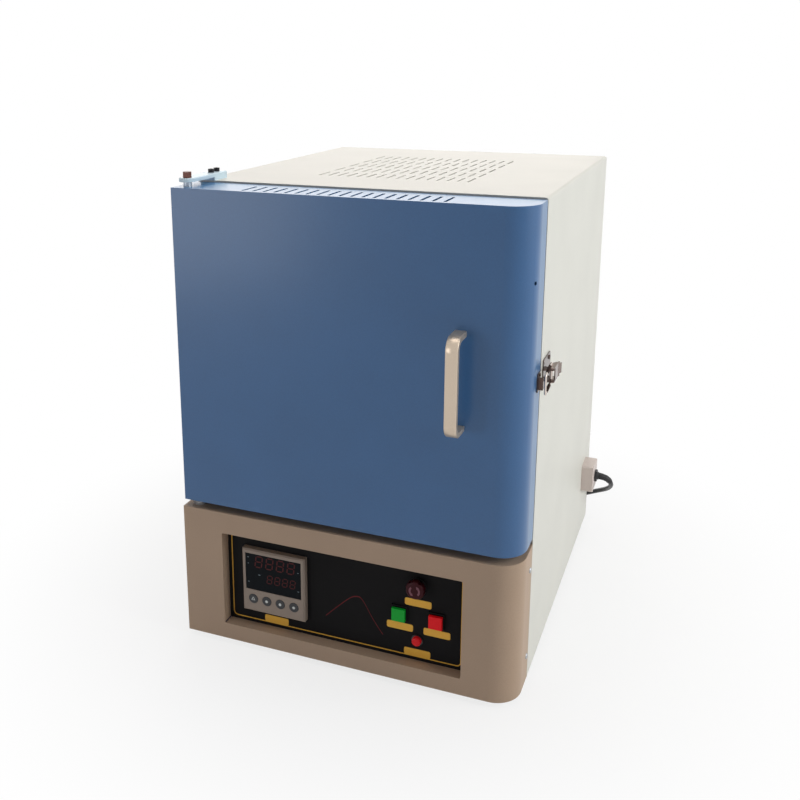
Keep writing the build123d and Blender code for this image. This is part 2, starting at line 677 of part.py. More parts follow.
with BuildPart() as handle_screws:
    with BuildSketch(Plane.XZ.offset(-YD - SHEET)):
        with Locations((XL + HANDLE_X, ZB + HANDLE_Z)):
            with GridLocations(1, HANDLE_H - HANDLE_BAR, 1, 2):
                Circle(3.2)
    extrude(amount=-2.5)
    with BuildSketch(Plane.XZ.offset(-YD - SHEET)):
        with Locations((XL + HANDLE_X, ZB + HANDLE_Z)):
            with GridLocations(1, HANDLE_H - HANDLE_BAR, 1, 2):
                Circle(1.5)
    extrude(amount=SHEET + 10)
handle_screws.part.label = "handle_screws"

# ---------------------------------------------------------------- hinges
ARM_Z = ZT + ARM_LIFT
HEX_AF = 11.0
with BuildPart() as hinge_blocks:
    with BuildSketch(Plane.XY.offset(DOOR_Z1 - SHEET)):
        with Locations((PX, PY)):
            Rectangle(2 * (PIVOT_X - SHEET), BLOCK_W)
        with Locations((PX, PY)):
            Circle(PIVOT_D / 2 + RUN, mode=Mode.SUBTRACT)
    extrude(amount=-BLOCK_T)
    with BuildSketch(Plane.XY.offset(DOOR_Z0 + SHEET)):
        with Locations((PX, PY)):
            Rectangle(2 * (PIVOT_X - SHEET), BLOCK_W)
        with Locations((PX, PY)):
            Circle(PIN_D / 2 + RUN, mode=Mode.SUBTRACT)
    extrude(amount=BLOCK_T)
hinge_blocks.part.label = "hinge_blocks"

ARM_Y0 = PY - ARM_W / 2
ARM_Y1 = YS + ARM_REAR
with BuildPart() as upper_hinge_arm:
    with BuildSketch(Plane.XY.offset(ARM_Z)):
        with Locations((PX, (PY + ARM_Y1) / 2)):
            Rectangle(ARM_W, ARM_Y1 - PY)
        with Locations((PX, PY)):
            Circle(ARM_W / 2)
            Circle(PIVOT_D / 2 + RUN, mode=Mode.SUBTRACT)
    extrude(amount=ARM_T)
    with BuildSketch(Plane.XY.offset(ZT)):
        with Locations((PX, (YS + ARM_Y1) / 2)):
            Rectangle(ARM_W, ARM_Y1 - YS)
    extrude(amount=ARM_LIFT)
    with BuildSketch(Plane.XY.offset(ZT)):
        with Locations((PX, YS + 10), (PX, YS + 25)):
            Circle(2.55)
    extrude(amount=ARM_LIFT + ARM_T, mode=Mode.SUBTRACT)
    chamfer(edges().group_by(Axis.Z)[-1].filter_by(Axis.Y), length=1)
upper_hinge_arm.part.label = "upper_hinge_arm"

with BuildPart() as upper_arm_screws:
    with BuildSketch(Plane.XY.offset(ARM_Z + ARM_T)):
        with Locations((PX, YS + 10), (PX, YS + 25)):
            Circle(2.5)
    extrude(amount=-(ARM_T + ARM_LIFT + SHEET + 4))
    with BuildSketch(Plane.XY.offset(ARM_Z + ARM_T)):
        with Locations((PX, YS + 10), (PX, YS + 25)):
            Circle(4.2)
    extrude(amount=5)
    with BuildSketch(Plane.XY.offset(ARM_Z + ARM_T + 5)):
        with Locations((PX, YS + 10), (PX, YS + 25)):
            RegularPolygon(2.3, 6)
    extrude(amount=-2.5, mode=Mode.SUBTRACT)
upper_arm_screws.part.label = "upper_arm_screws"

with BuildPart() as upper_pivot_bolt:
    with BuildSketch(Plane.XY.offset(DOOR_Z1)):
        with Locations((PX, PY)):
            Circle(COLLAR_D / 2)
    extrude(amount=ARM_Z - DOOR_Z1 - FIT)
    with BuildSketch(Plane.XY.offset(DOOR_Z1 - SHEET - BLOCK_T)):
        with Locations((PX, PY)):
            Circle(PIVOT_D / 2)
    extrude(amount=SHEET + BLOCK_T + ARM_Z + ARM_T - DOOR_Z1 + FIT)
    with BuildSketch(Plane.XY.offset(ARM_Z + ARM_T + FIT)):
        with Locations((PX, PY)):
            RegularPolygon(HEX_AF / 2, 6, major_radius=False)
    extrude(amount=7.5)
upper_pivot_bolt.part.label = "upper_pivot_bolt"

LOW_ARM_Y1 = FASCIA_Y1 - 2
with BuildPart() as lower_hinge_arm:
    with BuildSketch(Plane.XY.offset(DECK_Z)):
        with Locations((PX, (PY + LOW_ARM_Y1) / 2)):
            Rectangle(ARM_W, LOW_ARM_Y1 - PY)
        with Locations((PX, PY)):
            Circle(ARM_W / 2)
    extrude(amount=ARM_T)
    with BuildSketch(Plane.XY.offset(DECK_Z + ARM_T)):
        with Locations((PX, PY)):
            Circle(PIN_D / 2 + 3)
    extrude(amount=DOOR_GAP - ARM_T - FIT)
    with BuildSketch(Plane.XY.offset(DECK_Z + ARM_T)):
        with Locations((PX, PY)):
            Circle(PIN_D / 2)
    extrude(amount=DOOR_GAP - ARM_T + SHEET + BLOCK_T - FIT)
lower_hinge_arm.part.label = "lower_hinge_arm"

with BuildPart() as lower_arm_screws:
    with BuildSketch(Plane.XY.offset(DECK_Z + ARM_T)):
        with Locations((PX, PY + 20), (PX, PY + 34)):
            Circle(4)
    extrude(amount=2.4, taper=15)
lower_arm_screws.part.label = "lower_arm_screws"

# ---------------------------------------------------------------- draw latch on the free side
LZ = ZB + LATCH_Z
LEVER_X = XR + 10.0  # lever axis
LEVER_Y = YD + 88.0
LATCH_PIN = 4.0
CRANK = 10.5  # bail pivot from the lever axis
CRANK_ANGLE = 100.0
BAIL_X = LEVER_X + CRANK * cos(radians(CRANK_ANGLE))
BAIL_Y = LEVER_Y + CRANK * sin(radians(CRANK_ANGLE))
BAIL_L = 53.0
BAIL_WIRE = 3.0
BAIL_TILT = 3.05  # degrees, crossbar further out than its pivots
BAIL_HALF = 12.2
EAR_HALF = 8.0
EAR_T = 2.0
LEVER_HALF = EAR_HALF + FIT + 1.5
with BuildPart() as latch_base:
    with BuildSketch(Plane.YZ.offset(XR)):
        with Locations((YD + 103, LZ)):
            RectangleRounded(46, 40, 4)
    extrude(amount=SHEET)
    for low in (LZ - EAR_HALF, LZ + EAR_HALF - EAR_T):
        with BuildSketch(Plane.XY.offset(low)):
            with BuildLine():
                Polyline(
                    (XR, LEVER_Y - 7),
                    (XR, LEVER_Y + 7),
                    (LEVER_X, LEVER_Y + 4.2),
                    (LEVER_X, LEVER_Y - 4.2),
                    close=True,
                )
            make_face()
            with Locations((LEVER_X, LEVER_Y)):
                Circle(4.2)
                Circle(LATCH_PIN / 2 + RUN, mode=Mode.SUBTRACT)
        extrude(amount=EAR_T)
    with BuildSketch(Plane.YZ.offset(XR + SHEET)):
        with Locations((YD + 116, LZ)):
            with GridLocations(1, 28, 1, 2):
                Circle(3)
    extrude(amount=1.5, taper=20)
latch_base.part.label = "latch_base"

with BuildPart() as latch_pin:
    with BuildSketch(Plane.XY.offset(LZ - LEVER_HALF)):
        with Locations((LEVER_X, LEVER_Y)):
            Circle(LATCH_PIN / 2)
    extrude(amount=2 * LEVER_HALF)
latch_pin.part.label = "latch_pin"

LEVER_L = 34.0
with BuildPart() as latch_lever:
    for low in (LZ - LEVER_HALF, LZ + LEVER_HALF - 1.5):
        with BuildSketch(Plane.XY.offset(low)):
            with BuildLine():
                Polyline(
                    (LEVER_X - 4.5, LEVER_Y - 1),
                    (LEVER_X - 5, LEVER_Y + CRANK + 4),
                    (LEVER_X + 2, LEVER_Y + 24),
                    (LEVER_X + 4.5, LEVER_Y + 24),
                    (LEVER_X + 4.5, LEVER_Y - 1),
                    close=True,
                )
            make_face()
            with Locations((LEVER_X, LEVER_Y)):
                Circle(4.5)
                Circle(LATCH_PIN / 2 + RUN, mode=Mode.SUBTRACT)
            with Locations((BAIL_X, BAIL_Y)):
                Circle(BAIL_WIRE / 2 + RUN, mode=Mode.SUBTRACT)
        extrude(amount=1.5)
    with BuildSketch(Plane.XY.offset(LZ - LEVER_HALF)):
        with BuildLine():
            Polyline(
                (LEVER_X + 3, LEVER_Y + 4),
                (LEVER_X + 4.5, LEVER_Y + 4),
                (LEVER_X + 4.5, LEVER_Y + 24),
                (LEVER_X + 7, LEVER_Y + LEVER_L),
                (LEVER_X + 5.5, LEVER_Y + LEVER_L),
                (LEVER_X + 3, LEVER_Y + 24),
                close=True,
            )
        make_face()
    extrude(amount=2 * LEVER_HALF)
    # finger end tapers to a rounded tip
    with BuildSketch(Plane.YZ.offset(LEVER_X)):
        with Locations((LEVER_Y + LEVER_L, LZ + LEVER_HALF), (LEVER_Y + LEVER_L, LZ - LEVER_HALF)):
            Rectangle(12, 6, rotation=0)
    extrude(amount=14, mode=Mode.SUBTRACT)
latch_lever.part.label = "latch_lever"

BAR_X = BAIL_X + BAIL_L * sin(radians(BAIL_TILT))
BAR_Y = BAIL_Y - BAIL_L * cos(radians(BAIL_TILT))
with BuildPart() as latch_bail:
    with BuildLine() as bail_line:
        FilletPolyline(
            (BAIL_X, BAIL_Y, LZ - EAR_HALF - FIT),
            (BAIL_X, BAIL_Y, LZ - BAIL_HALF),
            (BAR_X, BAR_Y, LZ - BAIL_HALF),
            (BAR_X, BAR_Y, LZ + BAIL_HALF),
            (BAIL_X, BAIL_Y, LZ + BAIL_HALF),
            (BAIL_X, BAIL_Y, LZ + EAR_HALF + FIT),
            radius=1.7,
        )
    with BuildSketch(Plane(origin=(BAIL_X, BAIL_Y, LZ - EAR_HALF - FIT), z_dir=(0, 0, -1))):
        Circle(BAIL_WIRE / 2)
    sweep(path=bail_line.wires()[0])
latch_bail.part.label = "latch_bail"

KEEP_Y = YD + 47.0
KEEP_H = 7.8
with BuildPart() as latch_keeper:
    with BuildSketch(Plane.YZ.offset(XR)):
        with Locations((KEEP_Y + 8, LZ)):
            RectangleRounded(16, 24, 1)
    extrude(amount=SHEET)
    with BuildSketch(Plane.XY.offset(LZ - 8)):
        with Locations((XR + KEEP_H / 2, KEEP_Y + SHEET / 2)):
            Rectangle(KEEP_H, SHEET)
        with Locations((XR + KEEP_H - 1.6, KEEP_Y + 1.6)):
            Circle(1.6)
    extrude(amount=16)
    with BuildSketch(Plane.YZ.offset(XR + SHEET)):
        with Locations((KEEP_Y + 10, LZ)):
            with GridLocations(1, 17, 1, 2):
                Circle(2.4)
    extrude(amount=1.3, taper=20)
latch_keeper.part.label = "latch_keeper"

# ---------------------------------------------------------------- lead
BOX_CY = YD + BOX_Y
BOX_CZ = ZB + BOX_Z
with BuildPart() as cable_box:
    with BuildSketch(Plane.YZ.offset(XR)):
        with Locations((BOX_CY, BOX_CZ)):
            RectangleRounded(BOX_W, BOX_H, 3)
    extrude(amount=BOX_REACH)
    chamfer(faces().sort_by(Axis.X)[-1].edges(), length=1)
cable_box.part.label = "cable_box"

with BuildPart() as cable_gland:
    with BuildSketch(Plane.YZ.offset(XR + BOX_REACH)):
        with Locations((BOX_CY, BOX_CZ)):
            RegularPolygon(GLAND_D / 2, 6, major_radius=False)
    extrude(amount=GLAND_L - 3)
    with BuildSketch(Plane.YZ.offset(XR + BOX_REACH + GLAND_L - 3)):
        with Locations((BOX_CY, BOX_CZ)):
            Circle(7)
    extrude(amount=3, taper=15)
cable_gland.part.label = "cable_gland"

# the lead's route, each point out from the gland's tip: along the side's normal, back, up
GX = XR + BOX_REACH + GLAND_L
LEAD = [
    (0, 0, 0),
    (11, 0, 0),
    (20, 13, -10),
    (19, 34, -27),
    (14, 59, -46),
    (-2, 81, -67),
    (-26, 97, -87),
    (-54, 106, -103),
    (-82, 108, CORD_D / 2 - BOX_CZ),
    (-112, 108, CORD_D / 2 - BOX_CZ),
]
lead_pts = [Vector(GX + x, BOX_CY + y, BOX_CZ + z) for x, y, z in LEAD]
lead_radii = []
for a, b, c in zip(lead_pts[:-2], lead_pts[1:-1], lead_pts[2:]):
    turn = (b - a).get_angle(c - b)
    lead_radii.append(0.45 * min((b - a).length, (c - b).length) / tan(radians(turn / 2)))
print("lead radii", [round(r, 1) for r in lead_radii])
with BuildPart() as cord_lead:
    with BuildLine() as lead_line:
        FilletPolyline(*lead_pts, radius=lead_radii)
    with BuildSketch(Plane(origin=lead_pts[0], z_dir=lead_pts[1] - lead_pts[0])):
        Circle(CORD_D / 2)
    sweep(path=lead_line.wires()[0])
cord_lead.part.label = "cord_lead"
print("lead volume", cord_lead.part.volume, lead_line.wires()[0].length * pi * CORD_D**2 / 4)

# the rest of the lead is coiled flat on the bench behind the casing: three turns wide, two high
COIL_R = 48.0  # mean radius
COIL_Y = lead_pts[-1].Y + COIL_R + CORD_D
TAIL = 30.0  # straight lead each side of the coil's middle
PLUG_TAIL = 26.0  # and on to the plug
COIL_X = lead_pts[-1].X - TAIL
with BuildPart() as cord_coil:
    with BuildSketch(Plane.XY):
        with Locations((COIL_X, COIL_Y)):
            Circle(COIL_R + 1.5 * CORD_D)
            Circle(COIL_R - 1.5 * CORD_D, mode=Mode.SUBTRACT)
    extrude(amount=2 * CORD_D)
    with BuildSketch(Plane(origin=lead_pts[-1], z_dir=(-1, 0, 0))):
        Circle(CORD_D / 2)
    extrude(amount=2 * TAIL + PLUG_TAIL)
cord_coil.part.label = "cord_coil"

PLUG_X = COIL_X - TAIL - PLUG_TAIL
with BuildPart() as plug_body:
    with BuildSketch(Plane(origin=(PLUG_X, lead_pts[-1].Y, 12), z_dir=(-1, 0, 0))) as plug_a:
        Circle(8)
    with BuildSketch(Plane(origin=(PLUG_X - 22, lead_pts[-1].Y, 18), z_dir=(-1, 0, 0))) as plug_b:
        RectangleRounded(36, 26, 7)
    loft(sections=[plug_a.sketch.faces()[0], plug_b.sketch.faces()[0]], ruled=True)
    with BuildSketch(Plane(origin=(PLUG_X - 22, lead_pts[-1].Y, 18), z_dir=(-1, 0, 0))):
        RectangleRounded(36, 26, 7)
    extrude(amount=20)
plug_body.part.label = "plug_body"

with BuildPart() as plug_pins:
    with BuildSketch(Plane(origin=(PLUG_X - 42, lead_pts[-1].Y, 18), z_dir=(-1, 0, 0))):
        with GridLocations(19, 1, 2, 1):
            Circle(2.4)
    extrude(amount=19)
    chamfer(faces().sort_by(Axis.X)[:2].edges(), length=0.8)
plug_pins.part.label = "plug_pins"

# ---------------------------------------------------------------- write the sub-parts
everything = [
    rubber_feet,
    base_pan,
    side_panel_left,
    side_panel_right,
    top_cover,
    rear_panel,
    rear_screws,
    deck_plate,
    mouth_frame,
    insulation_floor,
    insulation_roof,
    insulation_left,
    insulation_right,
    insulation_back,
    heating_wire_left,
    heating_wire_right,
    thermocouple_sheath,
    thermocouple_head,
    hearth_plate,
    fascia,
    fascia_screws,
    control_panel,
    controller_case,
    controller_window,
    *keys,
    *button_parts,
    emergency_body,
    emergency_stem,
    emergency_cap,
    power_lamp_body,
    power_lamp_lens,
    door_shell,
    door_backplate,
    door_seal,
    door_plug,
    handle,
    handle_screws,
    hinge_blocks,
    upper_hinge_arm,
    upper_arm_screws,
    upper_pivot_bolt,
    lower_hinge_arm,
    lower_arm_screws,
    latch_base,
    latch_pin,
    latch_lever,
    latch_bail,
    latch_keeper,
    cable_box,
    cable_gland,
    cord_lead,
    cord_coil,
    plug_body,
    plug_pins,
]
for piece in everything:
    export_step(piece.part, f"parts/{piece.part.label}.step")
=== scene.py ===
"""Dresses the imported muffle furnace: painted sheet metal, control fascia, latch, lining and lead."""
import bmesh
import bpy
from math import cos, pi, radians, sin
from mathutils import Matrix, Vector


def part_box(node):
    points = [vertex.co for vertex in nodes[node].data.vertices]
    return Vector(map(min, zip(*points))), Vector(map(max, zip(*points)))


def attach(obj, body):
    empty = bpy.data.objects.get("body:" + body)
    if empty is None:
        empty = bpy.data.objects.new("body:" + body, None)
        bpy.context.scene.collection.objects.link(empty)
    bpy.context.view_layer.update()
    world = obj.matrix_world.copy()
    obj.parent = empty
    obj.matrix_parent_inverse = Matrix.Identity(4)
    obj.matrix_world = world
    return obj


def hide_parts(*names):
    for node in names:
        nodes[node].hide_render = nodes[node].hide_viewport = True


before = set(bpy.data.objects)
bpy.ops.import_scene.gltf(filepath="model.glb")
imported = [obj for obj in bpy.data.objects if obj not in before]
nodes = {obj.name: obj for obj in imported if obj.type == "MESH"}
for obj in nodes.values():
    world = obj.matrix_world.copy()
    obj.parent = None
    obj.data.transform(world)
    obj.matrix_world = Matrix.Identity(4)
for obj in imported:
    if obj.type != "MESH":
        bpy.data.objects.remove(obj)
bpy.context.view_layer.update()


# ---- Camera and studio: a bench view from above the free side of the door.
# Large lamps stand to the right, overhead and behind, a small one fills the left side, and the
# room adds a weak even light.
camera_data = bpy.data.cameras.new("bench_camera")
bench_camera = bpy.data.objects.new("bench_camera", camera_data)
bpy.context.scene.collection.objects.link(bench_camera)
camera_data.sensor_width = 36
camera_data.lens = 43.43
camera_data.shift_x = 0.0607
camera_data.shift_y = -0.1375
camera_data.clip_end = 60
bench_camera.matrix_world = (
    Matrix.Translation((0.4407, -1.3480, 0.8252))
    @ Matrix.Rotation(radians(22.0), 4, "Z")
    @ Matrix.Rotation(radians(90 - 13.76), 4, "X")
    @ Matrix.Rotation(radians(-0.16), 4, "Z")
)
bpy.context.scene.camera = bench_camera
bpy.context.scene.view_settings.view_transform = "Standard"

for lamp_name, place, size, watts, tint in (
    ("right_lamp", (2.3, -0.1, 1.3), 1.5, 31, (0.97, 1.0, 0.99)),
    ("top_lamp", (0.0, 0.2, 2.7), 1.8, 22, (1.0, 0.95, 0.90)),
    ("back_lamp", (-1.2, 3.1, 1.8), 2.4, 25, (1.0, 0.95, 0.91)),
    ("left_lamp", (-1.2, -1.8, 0.5), 0.8, 5.5, (1.0, 1.0, 1.0)),
):
    lamp_data = bpy.data.lights.new(lamp_name, "AREA")
    lamp_data.size = size
    lamp_data.energy = watts
    lamp_data.color = tint
    lamp = bpy.data.objects.new(lamp_name, lamp_data)
    bpy.context.scene.collection.objects.link(lamp)
    lamp.location = place
    lamp.rotation_euler = (Vector((0, 0, 0.33)) - Vector(place)).to_track_quat("-Z", "Y").to_euler()

room = bpy.data.worlds.new("studio_room")
bpy.context.scene.world = room
room.use_nodes = True
room.node_tree.nodes.clear()
room_out = room.node_tree.nodes.new("ShaderNodeOutputWorld")
room_light = room.node_tree.nodes.new("ShaderNodeBackground")
room_light.inputs["Color"].default_value = (0.93, 0.96, 1.0, 1)
room_light.inputs["Strength"].default_value = 0.14
room_white = room.node_tree.nodes.new("ShaderNodeBackground")
room_white.inputs["Color"].default_value = (1, 1, 1, 1)
room_white.inputs["Strength"].default_value = 1.0
room_ray = room.node_tree.nodes.new("ShaderNodeLightPath")
seen = room.node_tree.nodes.new("ShaderNodeMath")
seen.operation = "MAXIMUM"
seen_or_glass = room.node_tree.nodes.new("ShaderNodeMath")
seen_or_glass.operation = "MAXIMUM"
room_mix = room.node_tree.nodes.new("ShaderNodeMixShader")
room.node_tree.links.new(room_ray.outputs["Is Camera Ray"], seen.inputs[0])
room.node_tree.links.new(room_ray.outputs["Is Glossy Ray"], seen.inputs[1])
room.node_tree.links.new(seen.outputs[0], seen_or_glass.inputs[0])
room.node_tree.links.new(room_ray.outputs["Is Transmission Ray"], seen_or_glass.inputs[1])
room.node_tree.links.new(seen_or_glass.outputs[0], room_mix.inputs[0])
room.node_tree.links.new(room_light.outputs[0], room_mix.inputs[1])
room.node_tree.links.new(room_white.outputs[0], room_mix.inputs[2])
room.node_tree.links.new(room_mix.outputs[0], room_out.inputs["Surface"])

bpy.ops.object.select_all(action="DESELECT")
bpy.ops.mesh.primitive_plane_add(size=40, location=(0, 0, -0.0002))
studio_floor = bpy.context.object
studio_floor.name = "studio_floor"
floor_paper = bpy.data.materials.new("floor_paper")
floor_paper.use_nodes = True
paper = floor_paper.node_tree
paper.nodes.clear()
paper_out = paper.nodes.new("ShaderNodeOutputMaterial")
paper_lit = paper.nodes.new("ShaderNodeBsdfDiffuse")
paper_lit.inputs["Color"].default_value = (0.9, 0.9, 0.9, 1)
paper_white = paper.nodes.new("ShaderNodeEmission")
paper_white.inputs["Color"].default_value = (1, 1, 1, 1)
paper_white.inputs["Strength"].default_value = 1.0
paper_place = paper.nodes.new("ShaderNodeTexCoord")
paper_far = paper.nodes.new("ShaderNodeVectorMath")
paper_far.operation = "LENGTH"
paper_fade = paper.nodes.new("ShaderNodeMapRange")
paper_fade.interpolation_type = "SMOOTHSTEP"
paper_fade.inputs["From Min"].default_value = 0.2
paper_fade.inputs["From Max"].default_value = 0.75
paper_fade.inputs["To Min"].default_value = 0.75
paper_ray = paper.nodes.new("ShaderNodeLightPath")
paper_seen = paper.nodes.new("ShaderNodeMath")
paper_seen.operation = "MAXIMUM"
paper_share = paper.nodes.new("ShaderNodeMath")
paper_share.operation = "MULTIPLY"
paper_mix = paper.nodes.new("ShaderNodeMixShader")
paper.links.new(paper_place.outputs["Object"], paper_far.inputs[0])
paper.links.new(paper_far.outputs["Value"], paper_fade.inputs["Value"])
paper.links.new(paper_ray.outputs["Is Camera Ray"], paper_seen.inputs[0])
paper.links.new(paper_ray.outputs["Is Glossy Ray"], paper_seen.inputs[1])
paper.links.new(paper_fade.outputs["Result"], paper_share.inputs[0])
paper.links.new(paper_seen.outputs[0], paper_share.inputs[1])
paper.links.new(paper_share.outputs[0], paper_mix.inputs[0])
paper.links.new(paper_lit.outputs[0], paper_mix.inputs[1])
paper.links.new(paper_white.outputs[0], paper_mix.inputs[2])
paper.links.new(paper_mix.outputs[0], paper_out.inputs["Surface"])
studio_floor.data.materials.append(floor_paper)


# ---- Mains lead: 8 mm black rubber flex that leaves the gland level, turns back and drops.
# What is left of it is wound flat on the bench behind the casing: three turns wide, two high.
def srgb(red, green, blue):
    """A colour written as it is seen, 0 to 255, as the linear colour that a shader takes."""
    parts = [c / 255 for c in (red, green, blue)]
    return tuple(c / 12.92 if c < 0.04045 else ((c + 0.055) / 1.055) ** 2.4 for c in parts) + (1,)


def finish_of(name, colour, spread, grain, rough, metal=0.0, bump=0.1, gloss=0.5, rough_spread=0.06):
    """A finish whose colour, roughness and height all vary a little with one fine grain.
    grain is the size of that grain in metres, and spread how far the colour moves with it."""
    finish = bpy.data.materials.new(name)
    finish.use_nodes = True
    tree = finish.node_tree
    shader = tree.nodes["Principled BSDF"]
    shader.inputs["Metallic"].default_value = metal
    shader.inputs["Specular IOR Level"].default_value = gloss
    place = tree.nodes.new("ShaderNodeTexCoord")
    fine = tree.nodes.new("ShaderNodeTexNoise")
    fine.inputs["Scale"].default_value = 1 / grain
    fine.inputs["Detail"].default_value = 3
    broad = tree.nodes.new("ShaderNodeTexNoise")
    broad.inputs["Scale"].default_value = 9
    broad.inputs["Detail"].default_value = 2
    tone = tree.nodes.new("ShaderNodeMath")
    tone.operation = "ADD"
    shade = tree.nodes.new("ShaderNodeMapRange")
    shade.inputs["From Min"].default_value = 0.7
    shade.inputs["From Max"].default_value = 1.3
    colours = tree.nodes.new("ShaderNodeMix")
    colours.data_type = "RGBA"
    colours.inputs["A"].default_value = tuple(c * (1 - spread) for c in colour[:3]) + (1,)
    colours.inputs["B"].default_value = tuple(min(1, c * (1 + spread)) for c in colour[:3]) + (1,)
    dull = tree.nodes.new("ShaderNodeMapRange")
    dull.inputs["To Min"].default_value = rough - rough_spread
    dull.inputs["To Max"].default_value = rough + rough_spread
    relief = tree.nodes.new("ShaderNodeBump")
    relief.inputs["Strength"].default_value = bump
    relief.inputs["Distance"].default_value = grain / 4
    tree.links.new(place.outputs["Object"], fine.inputs["Vector"])
    tree.links.new(place.outputs["Object"], broad.inputs["Vector"])
    tree.links.new(fine.outputs["Fac"], tone.inputs[0])
    tree.links.new(broad.outputs["Fac"], tone.inputs[1])
    tree.links.new(tone.outputs[0], shade.inputs["Value"])
    tree.links.new(shade.outputs["Result"], colours.inputs["Factor"])
    tree.links.new(colours.outputs["Result"], shader.inputs["Base Color"])
    tree.links.new(fine.outputs["Fac"], dull.inputs["Value"])
    tree.links.new(dull.outputs["Result"], shader.inputs["Roughness"])
    tree.links.new(fine.outputs["Fac"], relief.inputs["Height"])
    tree.links.new(relief.outputs["Normal"], shader.inputs["Normal"])
    return finish


def coat(finish, *names):
    """Gives the CAD pieces of these names that finish, in the slots they already have."""
    for name in names:
        node = nodes[name]
        if not node.material_slots:
            node.data.materials.append(finish)
        for material_slot in node.material_slots:
            material_slot.link = "DATA"
            material_slot.material = finish


def choose(*pieces):
    """Leaves only these pieces selected, with the first of them active."""
    bpy.ops.object.select_all(action="DESELECT")
    for piece in pieces:
        piece.select_set(True)
    bpy.context.view_layer.objects.active = pieces[0]


def set_in_place(piece, name, body, finish):
    """Names a finished piece, bakes its place into its mesh, finishes it and fixes it to its body."""
    choose(piece)
    bpy.ops.object.transform_apply(location=True, rotation=True, scale=True)
    piece.name = name
    piece.data.name = name
    piece.data.materials.clear()
    piece.data.materials.append(finish)
    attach(piece, body)


def round_curve(name, route, thick, steps, rounds):
    """A round flex or wire of that thickness on a smooth line, with the route as its control points."""
    curve = bpy.data.curves.new(name, "CURVE")
    curve.dimensions = "3D"
    line = curve.splines.new("NURBS")
    line.points.add(len(route) - 1)
    for point, at in zip(line.points, route):
        point.co = (*at, 1)
    line.order_u = 3
    line.use_endpoint_u = True
    curve.resolution_u = steps
    curve.bevel_depth = thick / 2
    curve.bevel_resolution = rounds
    curve.use_fill_caps = True
    return curve


flex_rubber = finish_of("flex_rubber", srgb(26, 27, 30), 0.25, 0.0012, 0.34, bump=0.12)
flex_d = 0.008
gland_low, gland_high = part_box("cable_gland")
gland_tip = Vector((gland_high.x, (gland_low.y + gland_high.y) / 2, (gland_low.z + gland_high.z) / 2))
coil_low, coil_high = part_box("cord_coil")
coil_r = 0.048
coil_x = 0.116
coil_y = coil_low.y + coil_r + 1.5 * flex_d
flex_route = [gland_tip + Vector(step) for step in (
    (0, 0, 0), (0.010, 0, -0.0008), (0.0182, 0.004, -0.008), (0.0204, 0.016, -0.021),
    (0.012, 0.039, -0.039), (-0.010, 0.064, -0.058), (-0.038, 0.082, -0.077),
    (-0.066, 0.096, -0.094), (-0.092, 0.105, -0.106), (-0.116, 0.108, -0.110),
)]
turn_points = 14
turns = 5
cut_in = 0.975  # the smooth line's radius, as a share of its control points' own
step_in, step_out, step_up = 0.12, 0.16, 0.2  # share of a turn that a change of lane takes
# one turn in each lane inward, outer to inner, then up a layer and outward again
for k in range(turn_points * turns + 1):
    turn = k / turn_points
    wide = 1.0
    if turn > 0.88:
        wide = 1.0 - min(1, (turn - 0.88) / step_in)
    if turn > 1.88:
        wide = -min(1, (turn - 1.88) / step_in)
    high = min(1, max(0, (turn - 2.66) / step_up))
    if turn > 3.5:
        wide = -1 + min(1, (turn - 3.5) / step_out)
    if turn > 4.5:
        wide = min(1, (turn - 4.5) / step_out)
    bend = radians(-90 - 360 * turn)
    reach = (coil_r + wide * flex_d) / cut_in
    flex_route.append(Vector((
        coil_x + reach * cos(bend), coil_y + reach * sin(bend), flex_d / 2 + high * flex_d)))
plug_low, plug_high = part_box("plug_body")
plug_axis_y = (plug_low.y + plug_high.y) / 2
flex_route += [
    Vector((coil_x - 0.022, plug_axis_y, 0.0118)),
    Vector((coil_x - 0.040, plug_axis_y, 0.0112)),
    Vector((plug_high.x, plug_axis_y, 0.012)),
]
flex_curve = round_curve("mains_lead", flex_route, flex_d, steps=8, rounds=4)
flex_curve.materials.append(flex_rubber)
mains_lead = bpy.data.objects.new("mains_lead", flex_curve)
bpy.context.scene.collection.objects.link(mains_lead)
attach(mains_lead, "casing")
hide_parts("cord_lead", "cord_coil")


# ---- Strain relief and coil tie: a tapered rubber sleeve grips the flex where it leaves the gland.
# A hook-and-loop strap, closed on itself, holds the wound turns together.
def pick(piece, kind, test):
    """In edit mode, selects only the faces or edges of that piece whose middle and normal pass."""
    bpy.ops.mesh.select_mode(type=kind)
    bpy.ops.mesh.select_all(action="DESELECT")
    mesh = bmesh.from_edit_mesh(piece.data)
    for part in mesh.faces if kind == "FACE" else mesh.edges:
        if kind == "FACE":
            part.select_set(bool(test(part.calc_center_median(), part.normal)))
        else:
            ends = [v.co for v in part.verts]
            part.select_set(bool(test((ends[0] + ends[1]) / 2, (ends[1] - ends[0]).normalized())))
    bmesh.update_edit_mesh(piece.data)


def settle(piece):
    """Merges doubles, turns every face outward and leaves edit mode."""
    bpy.ops.mesh.select_all(action="SELECT")
    bpy.ops.mesh.remove_doubles(threshold=0.00001)
    bpy.ops.mesh.normals_make_consistent(inside=False)
    bpy.ops.object.mode_set(mode="OBJECT")
    return piece


def meshed(curve):
    """Turns a curve into a mesh piece and leaves it in edit mode."""
    piece = bpy.data.objects.new(curve.name, curve)
    bpy.context.scene.collection.objects.link(piece)
    choose(piece)
    bpy.ops.object.convert(target="MESH")
    bpy.ops.object.mode_set(mode="EDIT")
    return bpy.context.object


